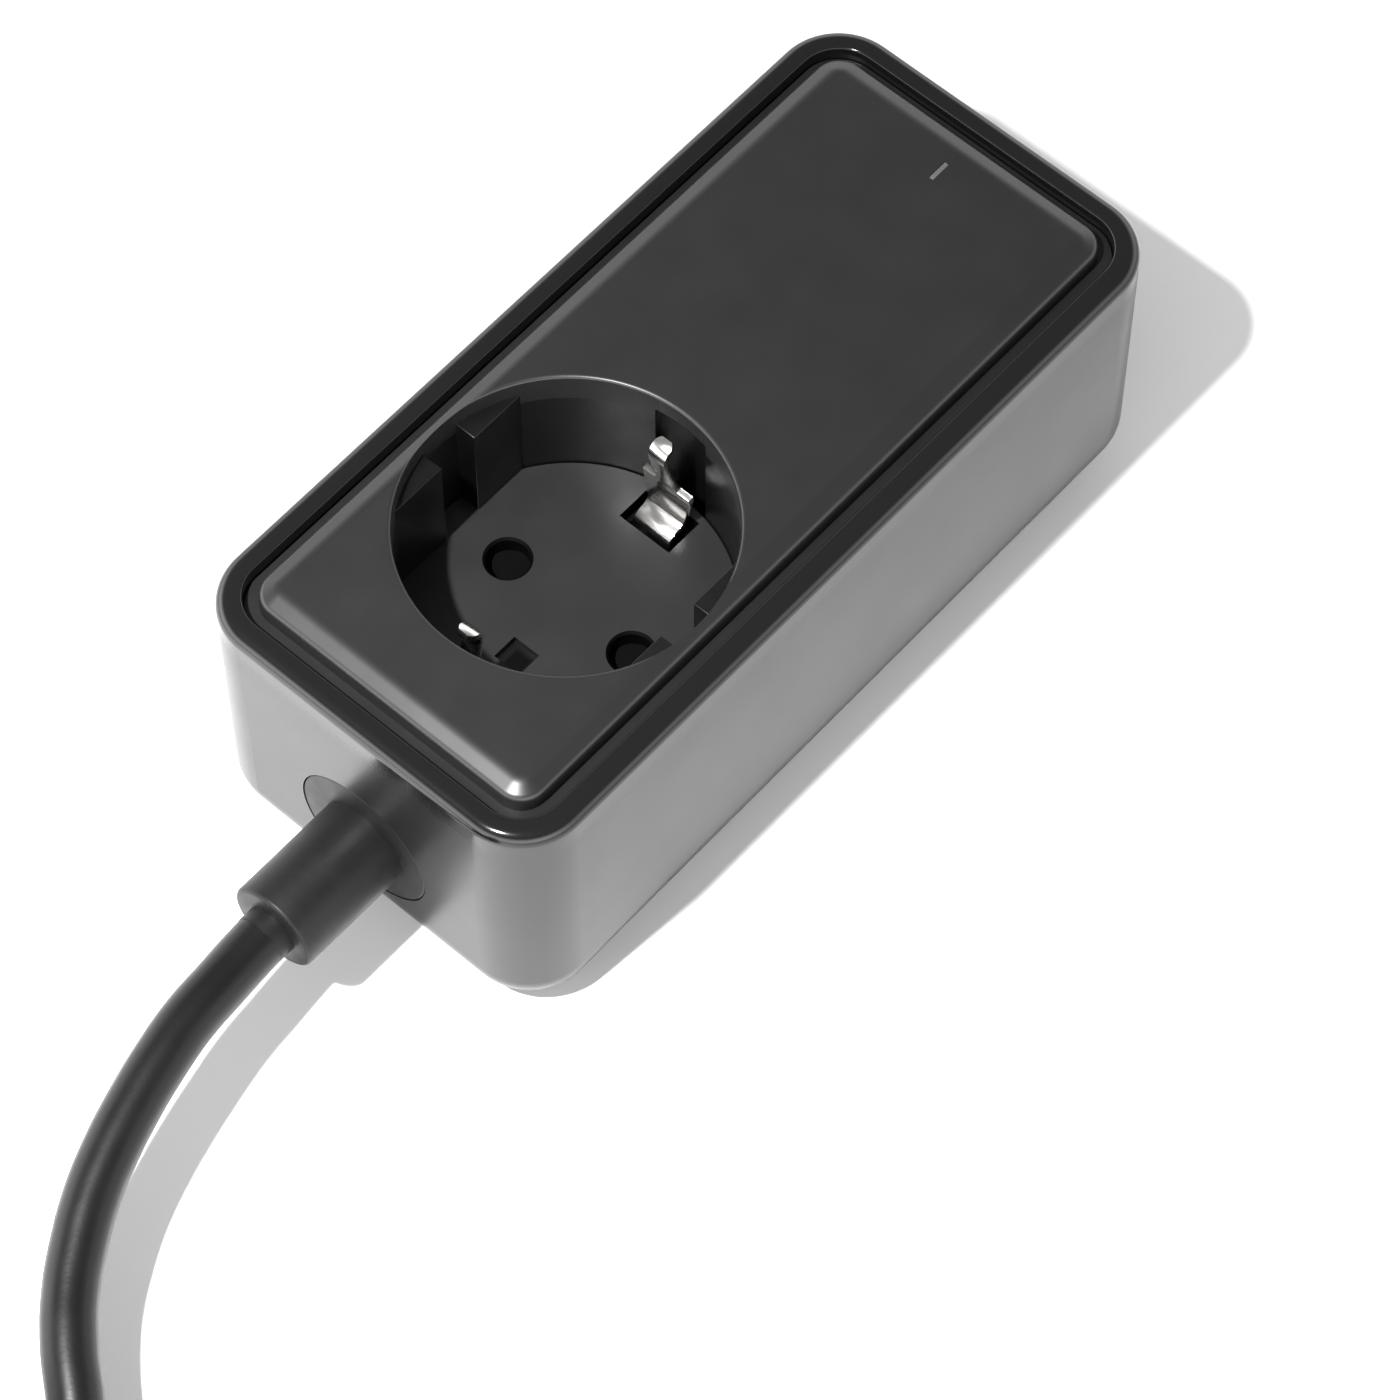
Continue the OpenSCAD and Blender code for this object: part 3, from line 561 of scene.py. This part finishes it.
# ---------------------------------------------------------------- block
def make_housing():
    """Closed shell: outside with its fillet and rounded rim, groove wall, ledge and inside."""
    foot, ledge, under = BODY_L / 2 - COVER_END - PANEL_GAP, RIM_W + 1.2 * MM, LEDGE_Z - 1.2 * MM
    profile = [(foot, FOOT_T)]
    for degrees in range(0, 91, 6):
        a = math.radians(degrees)
        profile.append((BASE_R - BASE_R * math.sin(a), FOOT_T + BASE_R * (1 - math.cos(a))))
    profile += [(RIM_R - x, z) for x, z in arc((0, RIM_Z - RIM_R), RIM_R, 0, 90, 14)]
    profile += arc((RIM_W - RIM_INNER_R, RIM_Z - RIM_INNER_R), RIM_INNER_R, 90, 0, 5)
    profile += [(RIM_W, LEDGE_Z), (ledge, LEDGE_Z), (ledge, under), (WALL, under),
                (WALL, WALL_FOOT_Z), (foot, WALL_FOOT_Z)]
    shell = loft("shell", [block_ring(inset, z, 16) for inset, z in profile], loop=True)
    bore = rod("bore", COLLAR_R + 0.05 * MM, -1 * MM, 5 * MM, 96, along_x(END_X, 0, CORD_Z))
    seat = rod("seat", 9.4 * MM, -1 * MM, 1.3 * MM, 128, along_x(END_X, 0, CORD_Z + FLANGE_RISE))
    button = rod("button_hole", 3.6 * MM, -4 * MM, 1 * MM, 96, along_x(SHELL_HI.x, 0, BUTTON_MID.z))
    cut(shell, [seat, bore, button])
    return install(smooth(shell, 28), "block", "shell", "housing")


def make_panel():
    """Raised panel: flange under the groove, pillowed bevel and the socket's round mouth."""
    edge, flange = RIM_W + GROOVE_W, RIM_W + PANEL_GAP
    profile = [(flange, LEDGE_Z), (flange, GROOVE_Z), (edge, GROOVE_Z)]
    profile += arc((edge + 1 * MM, PANEL_Z - 1.6 * MM), 1 * MM, 180, 113, 8)
    profile += arc((edge + 2.86 * MM, PANEL_Z - 3.2 * MM), 3.2 * MM, 113, 90, 8)
    panel = loft("panel", [block_ring(inset, z, 16) for inset, z in profile])
    mouth_r, mouth_z, over = SOCKET_R + MOUTH_R, PANEL_Z - MOUTH_R, SOCKET_R + 0.5 * MM
    mouth = [(SOCKET_R, 30 * MM), (SOCKET_R, mouth_z)]
    mouth += [(mouth_r - x, z) for x, z in arc((0, mouth_z), MOUTH_R, 0, 90, 5)]
    mouth += [(over, PANEL_Z + 0.1 * MM), (over, 45 * MM)]
    hole = lathe("mouth", mouth, 192, AT_SOCKET)
    under = 39.2 * MM
    pocket = loft("pocket", [block_ring(RIM_W + 2.2 * MM, z, 8) for z in (30 * MM, under)])
    cut(pocket, [rod("ring", SOCKET_R + 2.4 * MM, 29 * MM, 39.3 * MM, 96, AT_SOCKET)])
    lo, hi, mid = size_of("light_pipe")
    play, half_l, half_w = 0.1 * MM, 1.5 * MM, 0.35 * MM
    slot = cuboid("slot", (mid.x - half_l, -half_w, 38 * MM), (mid.x + half_l, half_w, 43 * MM))
    seat = cuboid("pipe_seat", (lo.x - play, lo.y - play, 38 * MM), (hi.x + play, hi.y + play, 40.6 * MM))
    tools = [hole, pocket, slot, seat]
    for s in (-1, 1):
        x, half = SOCKET_X + s * (SOCKET_R - 0.2 * MM), 1.1 * MM
        tools.append(cuboid("notch", (x - half, -SLOT_W / 2, 36 * MM), (x + half, SLOT_W / 2, under)))
    cut(panel, tools)
    install(smooth(panel, 24), "block", "panel", "top_panel")
    return repaint(panel, "panel_edge", lambda f: f.center.z > EDGE_Z and f.normal.z < 0.9996)


def make_cup():
    """Socket recess: round wall, guide ridges and the slots that the earth clips lean back into."""
    outer = SOCKET_R + 1.5 * MM
    profile = [(SOCKET_R, CUP_LO.z), (outer, CUP_LO.z), (outer, LEDGE_Z), (SOCKET_R, LEDGE_Z)]
    wall = lathe("cup_shaded", profile, 192, loop=True)
    half, in_wall = math.sqrt(SOCKET_R ** 2 - GUIDE_Y ** 2), SOCKET_R + 0.2 * MM
    start, end = math.degrees(math.asin(GUIDE_Y / in_wall)), math.degrees(math.acos(GUIDE_GAP / 2 / in_wall))
    outline = [(GUIDE_GAP / 2, GUIDE_Y), (half, GUIDE_Y)] + arc((0, 0), in_wall, start, end, 14)
    ridges = []
    for sy in (-1, 1):
        for sx in (-1, 1):
            rings = [[(sx * x, sy * y, z) for x, y in outline] for z in (FLOOR_Z + 0.03 * MM, GUIDE_Z)]
            ridges.append(soften(loft("ridge", rings), 0.25 * MM, 3, 40))
    cut(wall, ridges, "UNION")
    cut(wall, [side_box("clip_slot", s, 17 * MM, 20.2 * MM, SLOT_W, CUP_LO.z - 1 * MM, 45 * MM)
               for s in (-1, 1)])
    wall.data.transform(AT_SOCKET)
    # Painted shade: the recess wall takes the darker, shaded copy of the recess plastic.
    return install(smooth(wall, 30), "block", "cup_shaded", "socket_cup")


def make_socket_floor():
    """Disc under the recess with the pin holes, the earth clips' slots and a small pocket; their walls carry
    painted shade.
    """
    r, low, edge, chamfer = SOCKET_R - 0.02 * MM, CUP_LO.z, 0.15 * MM, 0.3 * MM
    below, above = low - 1 * MM, FLOOR_Z + 1 * MM
    disc = lathe("socket_floor", [(POINT, low), (r, low), (r, FLOOR_Z - edge), (r - edge, FLOOR_Z),
                                  (POINT, FLOOR_Z)], 192)
    profile = [(PIN_HOLE_R, below), (PIN_HOLE_R, FLOOR_Z - chamfer),
               (PIN_HOLE_R + chamfer, FLOOR_Z), (PIN_HOLE_R + chamfer, above)]
    holes = [lathe("pin_hole", profile, 96, Matrix.Translation((0, y, 0))) for y in (-PIN_Y, PIN_Y)]
    holes += [side_box("clip_slot", s, 12.8 * MM, 18.1 * MM, SLOT_W, below, above) for s in (-1, 1)]
    holes.append(cuboid("floor_pocket", (-10.6 * MM, -1.9 * MM, FLOOR_Z - 1 * MM),
                        (-7.2 * MM, 1.9 * MM, above)))
    cut(disc, holes)
    disc.data.transform(AT_SOCKET)
    hole_shade_top = FLOOR_Z - 0.1 * MM

    def pocket_shade_faces(face):
        x, y, z = face.center
        return (abs(x - SOCKET_X - POCKET_X) < 1.8 * MM and abs(y) < 2 * MM
                and FLOOR_Z - 1.1 * MM < z < hole_shade_top)

    # The floor takes the lighter, lit copy of the recess plastic.
    install(smooth(disc, 30), "block", "cup_floor_lit", "socket_floor")
    # Painted shade: every face below the floor's face (pin hole walls, slot walls, pocket) gets the
    # near-black, almost unreflective shutter material.
    repaint(disc, "shutter", lambda f: f.center.z < hole_shade_top)
    # Painted shade: the pocket's faces then get the darker recess-wall copy.
    return repaint(disc, "cup_shaded", pocket_shade_faces)


def make_strain_relief():
    """Collar with a rounded lip, flush round flange and the inner flange behind the wall."""
    bore, top, lip, edge = CORD_R + 0.02 * MM, END_X - COLLAR_END + 5 * MM, 0.5 * MM, 0.2 * MM
    profile = [(bore, 0), (bore + 0.1 * MM, 0)] + arc((COLLAR_R - lip, lip), lip, -90, 0, 5)
    profile += [(COLLAR_R, top), (bore, top)]
    collar = lathe("collar", profile, 128, along_x(COLLAR_END, 0, CORD_Z), loop=True)
    profile = [(bore, 0)] + arc((FLANGE_R - edge, edge), edge, -90, 0, 4)
    profile += [(FLANGE_R, 1.25 * MM), (bore, 1.25 * MM)]
    flange = lathe("flange", profile, 160, along_x(END_X + 0.03 * MM, 0, CORD_Z + FLANGE_RISE))
    low, high, hole = 2.45 * MM, 4 * MM, bore + 1 * MM
    inner = lathe("inner_flange", [(hole, low), (8 * MM, low), (8 * MM, high), (hole, high)], 96,
                  along_x(END_X, 0, CORD_Z))
    cut(collar, [flange, inner], "UNION")
    cut(collar, [rod("drill", bore, -2 * MM, 25 * MM, 96, along_x(COLLAR_END, 0, CORD_Z))])
    return install(smooth(collar, 30), "block", "collar", "strain_relief")


# The earth clip's middle line, (distance from the socket's axis, height), in mm
CLIP_PATH = ((14.2, 20.9), (14.2, 23), (14.9, 23.8), (16.3, 24.3), (16.95, 25.1), (16.95, 27.6),
             (16.95, 30.4), (15.5, 36.4), (15.35, 37.6), (15.9, 38.4), (17.1, 39))
# Its width: (from height, to height, first width, last width), in mm
CLIP_WIDTHS = ((0, 24.6, 5.4, 5.4), (24.6, 29.4, 5.4, 7), (29.4, 30.41, 7, 7), (30.41, 31.2, 3.4, 2.4),
               (31.2, 38.6, 2.4, 2.4))
CLIP_T = 0.8 * MM
ROLL_R = 0.8 * MM
SHOULDER_Z = 30.405 * MM
TONGUE_ROOT_W = 3.4 * MM


def clip_width(z):
    """Width of the earth clip in mm: foot, widening wall, shoulder, then the tongue to its rounded tip."""
    for low, high, first, last in CLIP_WIDTHS:
        if z <= high:
            return first + (last - first) * (z - low) / (high - low)
    return 2.4 - 6.4 * (z - 38.6) ** 2


def make_earth_clip(name, side):
    """Sprung strip: up from its roll, out, up to the shoulder, then a tongue that leans in and curls back."""
    line = smooth_path([(r * MM, z * MM) for r, z in CLIP_PATH], 6)
    rings = []
    for i, (r, z) in enumerate(line):
        ahead, behind = line[min(i + 1, len(line) - 1)], line[max(i - 1, 0)]
        d = Vector((ahead[0] - behind[0], ahead[1] - behind[1])).normalized()
        n = Vector((d.y, -d.x)) * CLIP_T / 2
        widths = [clip_width(z / MM) * MM]
        if z < SHOULDER_Z <= ahead[1]:
            widths.append(TONGUE_ROOT_W)
        for k, width in enumerate(widths):
            rings.append([(r + n.x * v, u * width / 2, z + n.y * v + k * 0.02 * MM)
                          for u, v in ((-1, -1), (1, -1), (1, 1), (-1, 1))])
    strip = loft(name, rings)
    foot_x, foot_z = CLIP_PATH[0]
    half = 2.7 * MM
    roll = lathe("roll", [(POINT, -half), (ROLL_R, -half), (ROLL_R, half), (POINT, half)], 32,
                 Matrix.Translation((foot_x * MM, 0, foot_z * MM)) @ Matrix.Rotation(math.pi / 2, 4, "X"))
    cut(strip, [roll], "UNION")
    soften(strip, 0.12 * MM, 2, 50)
    turn = Matrix.Identity(4) if side > 0 else Matrix.Rotation(math.pi, 4, "Z")
    strip.data.transform(AT_SOCKET @ turn)
    return strip


def smooth_path(points, steps):
    """Catmull-Rom curve through points."""
    pts = [Vector(p) for p in points]
    pts = [2 * pts[0] - pts[1]] + pts + [2 * pts[-1] - pts[-2]]
    out = []
    for a, b, c, d in zip(pts, pts[1:], pts[2:], pts[3:]):
        for i in range(steps):
            t = i / steps
            out.append(0.5 * ((2 * b) + (c - a) * t + (2 * a - 5 * b + 4 * c - d) * t * t
                              + (3 * b - a - 3 * c + d) * t ** 3))
    out.append(pts[-2])
    return [tuple(p) for p in out]


def make_light_pipe():
    """Shaft under the panel with the thin bar that shows in it."""
    lo, hi, mid = size_of("light_pipe")
    half_l, half_w = 1.45 * MM, 0.3 * MM
    window = cuboid("light_pipe", (mid.x - half_l, -half_w, 40.3 * MM), (mid.x + half_l, half_w, PANEL_Z))
    cut(window, [cuboid("shaft", tuple(lo), (hi.x, hi.y, 40.5 * MM))], "UNION")
    soften(window, 0.08 * MM, 2, 40)
    return install(smooth(window), "block", "window", "light_pipe")


def make_button():
    """Round cap with a dished face and a flange inside the wall."""
    flange = BUTTON_LO.x
    face, edge, dish = BUTTON_HI.x - flange, 0.4 * MM, 0.35 * MM
    profile = [(POINT, 0), (4.6 * MM, 0), (4.6 * MM, 1.3 * MM), (BUTTON_R, 1.3 * MM)]
    profile += arc((BUTTON_R - edge, face - edge), edge, 0, 90, 5)
    profile += [(BUTTON_R * k, face - dish * (1 - k * k)) for k in (0.7, 0.5, 0.3, 0.1, 0.003)]
    cap = lathe("pair_button", profile, 96, along_x(flange, 0, BUTTON_MID.z))
    return install(smooth(cap, 40), "button", "shell", "pair_button")


def make_feet():
    """Four round pads in one object."""
    hi = size_of("rubber_feet")[1]
    r, edge = 4 * MM, 0.3 * MM
    profile = [(POINT, FOOT_T), (r, FOOT_T)] + arc((r - edge, edge), edge, 0, -90, 4) + [(POINT, 0)]
    feet = [lathe("rubber_feet", profile, 64, Matrix.Translation((sx * (hi.x - r), sy * (hi.y - r), 0)))
            for sx in (-1, 1) for sy in (-1, 1)]
    cut(feet[0], feet[1:], "UNION")
    return install(smooth(feet[0]), "block", "rubber", "rubber_feet")


# ---------------------------------------------------------------- pieces on the lead
PLUG_PLACE = Matrix.Translation(PLUG_C) @ Matrix.Rotation(math.radians(COIL_LEAVE - 180), 4, "Z")


def make_tie():
    """Hook and loop strap over the coil, pressed into its upper corners."""
    slack, thick, half_w = 0.25 * MM, 0.9 * MM, 5 * MM
    mid, half = (COIL_IN + COIL_OUT) / 2, (COIL_OUT - COIL_IN) / 2 + CORD_R + slack
    top = COIL_HI.z + slack
    inner = [(-half, 0)] + arc((CORD_R - half, top - CORD_R), CORD_R, 180, 90, 8)
    inner += arc((half - CORD_R, top - CORD_R), CORD_R, 90, 0, 8) + [(half, 0)]
    rings = []
    for i, (x, z) in enumerate(inner):
        back, ahead = Vector(inner[max(i - 1, 0)]), Vector(inner[min(i + 1, len(inner) - 1)])
        out = Vector((-(ahead - back).y, (ahead - back).x)).normalized() * thick
        rings.append([(mid + x, -half_w, z), (mid + x, half_w, z),
                      (mid + x + out.x, half_w, z + out.y), (mid + x + out.x, -half_w, z + out.y)])
    tie = loft("coil_tie_strap", rings)
    lap = cuboid("lap", (mid - 4 * MM, -half_w, top + thick - 0.1 * MM),
                 (mid + 4.5 * MM, half_w, top + thick + 0.4 * MM))
    cut(tie, [lap], "UNION")
    tie.data.transform(Matrix.Translation((*COIL_C, 0)) @ Matrix.Rotation(math.radians(150), 4, "Z"))
    return install(smooth(tie, 40), "block", "tie", "coil_tie")


def make_plug():
    """Round angled plug on its back: ribbed grip, engagement face with its cut-outs, tapered relief."""
    r_back, back_r, step_r, face_r = PLUG_R + 0.9 * MM, 1.6 * MM, 0.8 * MM, 0.7 * MM
    step_z, above = 8.2 * MM, PLUG_FACE + 1 * MM
    profile = [(POINT, 0)] + arc((r_back - back_r, back_r), back_r, -90, 0, 8)
    profile += [(r_back, step_z)] + arc((r_back - step_r, step_z), step_r, 0, 90, 4)[1:]
    profile += [(PLUG_R, 9 * MM), (PLUG_R, PLUG_FACE - face_r)]
    profile += arc((PLUG_R - face_r, PLUG_FACE - face_r), face_r, 0, 90, 4)[1:] + [(POINT, PLUG_FACE)]
    plug = lathe("plug_body", profile, 144)
    profile = [(POINT, 13 * MM), (6.6 * MM, 13 * MM), (6.4 * MM, 19.6 * MM)]
    ribs = 3
    for i in range(ribs):
        y0 = 20 * MM + 9 * MM * i / ribs
        r0, r1 = (6.3 - 0.5 * i) * MM, (6.1 - 0.5 * i) * MM
        profile += [(r0, y0), (r1, y0 + 1.9 * MM),
                    (r1 - 0.7 * MM, y0 + 2.0 * MM), (r1 - 0.8 * MM, y0 + 2.9 * MM)]
    profile += [(4.6 * MM, 29.2 * MM), (4.5 * MM, RELIEF_L - 0.3 * MM), (4.2 * MM, RELIEF_L),
                (POINT, RELIEF_L)]
    relief = lathe("relief", profile, 72,
                   Matrix.Translation((0, 0, PLUG_CORD_Z)) @ Matrix.Rotation(-math.pi / 2, 4, "X"))
    cut(plug, [relief], "UNION")
    tools = []
    for s in (-1, 1):
        tools.append(side_box("earth_cut", s, 15.9 * MM, 30 * MM, 5.6 * MM, 10 * MM, above))
        ys = sorted((s * 16 * MM, s * 30 * MM))
        tools.append(cuboid("guide_cut", (-2.7 * MM, ys[0], 17.6 * MM), (2.7 * MM, ys[1], above)))
    tools.append(rod("earth_hole", 2.5 * MM, PLUG_FACE - 14 * MM, above, 64,
                     Matrix.Translation((0, 10 * MM, 0))))
    for k in range(36):
        a = math.radians(10 * k)
        if abs(math.sin(a) - 1) > 0.12:     # none where the relief comes out
            place = Matrix.Translation((r_back * math.cos(a) * 1.012, r_back * math.sin(a) * 1.012, 0))
            tools.append(rod("grip", 0.55 * MM, 2.4 * MM, 7.2 * MM, 10, place))
    cut(plug, tools)
    plug.data.transform(PLUG_PLACE)
    return install(smooth(plug, 34), "block", "collar", "plug_body")


def make_pins():
    """Both pins in one object, thinner where they enter the face."""
    neck, r, tip_r = 2 * MM, 2.4 * MM, 1.1 * MM
    base, top = PLUG_FACE - 7 * MM, PINS_HI.z - PLUG_LO.z
    profile = [(POINT, base), (neck, base), (neck, PLUG_FACE + 0.5 * MM), (r, PLUG_FACE + 0.6 * MM),
               (r, top - tip_r)]
    profile += arc((r - tip_r, top - tip_r), tip_r, 0, 90, 6)[1:] + [(POINT, top)]
    pins = [lathe("plug_pins", profile, 72, PLUG_PLACE @ Matrix.Translation((s * PIN_Y, 0, 0)))
            for s in (-1, 1)]
    cut(pins[0], pins[1:], "UNION")
    return install(smooth(pins[0], 40), "block", "nickel", "plug_pins")


# ---------------------------------------------------------------- carried-over CAD nodes
NODE_MATS = {
    "base_cover": "shell", "sheath_end": "cord", "cord_clamp": "dark_plastic", "clamp_screws": "zinc",
    "cover_screws": "zinc", "carrier_screws": "zinc", "board_screws": "zinc", "contact_carrier": "shutter",
    "shutter": "shutter", "shutter_spring": "zinc", "live_contact": "brass", "neutral_contact": "brass",
    "earth_strap": "nickel", "main_board": "board", "control_board": "board", "wifi_board": "navy_board",
    "relay": "relay_case", "power_module": "potting", "capacitors": "sleeve", "film_capacitor": "film_case",
    "fuse": "fuse_case", "varistor": "epoxy", "terminal_block": "terminal", "wifi_shield": "zinc",
    "status_led": "lens", "board_header": "potting", "tact_switch": "potting", "switch_plunger": "natural",
    "wire_live": "wire_brown", "wire_load_live": "wire_brown", "wire_neutral": "wire_blue",
    "wire_load_neutral": "wire_blue", "wire_earth": "wire_green", "plug_earth": "nickel"}


def dress_cad_nodes():
    """Materials of the pieces whose CAD shape is the visible one."""
    for name, mat in NODE_MATS.items():
        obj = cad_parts[name]
        if not obj.material_slots:
            obj.data.materials.append(MATS[mat])
        for slot in obj.material_slots:
            slot.material = MATS[mat]


make_housing()
make_panel()
make_cup()
make_socket_floor()
RELIEF = make_strain_relief()
make_light_pipe()
make_button()
make_feet()
for end, side in (("far", 1), ("near", -1)):
    strip = make_earth_clip("earth_clip_" + end + "_strip", side)
    install(smooth(strip, 40), "clip_" + end, "nickel", "earth_clip_" + end)
TIE = make_tie()
PLUG = make_plug()
PINS = make_pins()
dress_cad_nodes()


# ---------------------------------------------------------------- floor and light
def make_floor():
    """Pale table, 6 m wide."""
    half = 3.0
    corners = [(-half, -half, 0), (half, -half, 0), (half, half, 0), (-half, half, 0)]
    floor = add_mesh("floor", corners, [(0, 1, 2, 3)])
    s = Shader("floor_pale", (0.86, 0.86, 0.86), 0.7)
    s.vary_roughness(s.noise(30, 3), 0.66, 0.74)
    floor.data.materials.append(s.mat)


def area_light(name, place, target, size, power, spread):
    """Round lamp that looks at a target."""
    data = bpy.data.lights.new(name, "AREA")
    data.shape = "DISK"
    data.size = size
    data.energy = power
    data.spread = spread
    lamp = bpy.data.objects.new(name, data)
    bpy.context.collection.objects.link(lamp)
    lamp.location = place
    lamp.rotation_euler = (Vector(target) - Vector(place)).to_track_quat("-Z", "Y").to_euler()


def make_world():
    """Sky that is dark overhead, bright near the horizon and brightest on the lead's side."""
    world = bpy.data.worlds.new("studio")
    world.use_nodes = True
    tree = world.node_tree
    back = fill(tree.nodes["Background"], Color=(1, 1, 1, 1))
    coords = new_node(tree, "TexCoord").outputs["Generated"]
    split = new_node(tree, "SeparateXYZ")
    fall = fill(new_node(tree, "MapRange", interpolation_type="SMOOTHSTEP"),
                From_Min=0.3, From_Max=0.62, To_Min=1, To_Max=0)
    turn = new_node(tree, "VectorMath", operation="DOT_PRODUCT")
    turn.inputs[1].default_value = (-1, 0, 0)
    sides = fill(new_node(tree, "MapRange", interpolation_type="SMOOTHSTEP"),
                 From_Min=-0.5, From_Max=0.5, To_Min=1.6, To_Max=4.2)
    level = new_node(tree, "Math", operation="MULTIPLY_ADD")
    level.inputs[2].default_value = 0.26
    for source, target in ((coords, split.inputs["Vector"]), (split.outputs["Z"], fall.inputs["Value"]),
                           (coords, turn.inputs[0]), (turn.outputs["Value"], sides.inputs["Value"]),
                           (fall.outputs["Result"], level.inputs[0]),
                           (sides.outputs["Result"], level.inputs[1]),
                           (level.outputs["Value"], back.inputs["Strength"])):
        tree.links.new(source, target)
    bpy.context.scene.world = world
    bpy.context.scene.view_settings.view_transform = "Standard"


make_floor()
area_light("key", (-0.372, 0.012, 0.72), (-0.22, 0.06, 0), 0.03, 2.4, math.radians(60))
make_world()
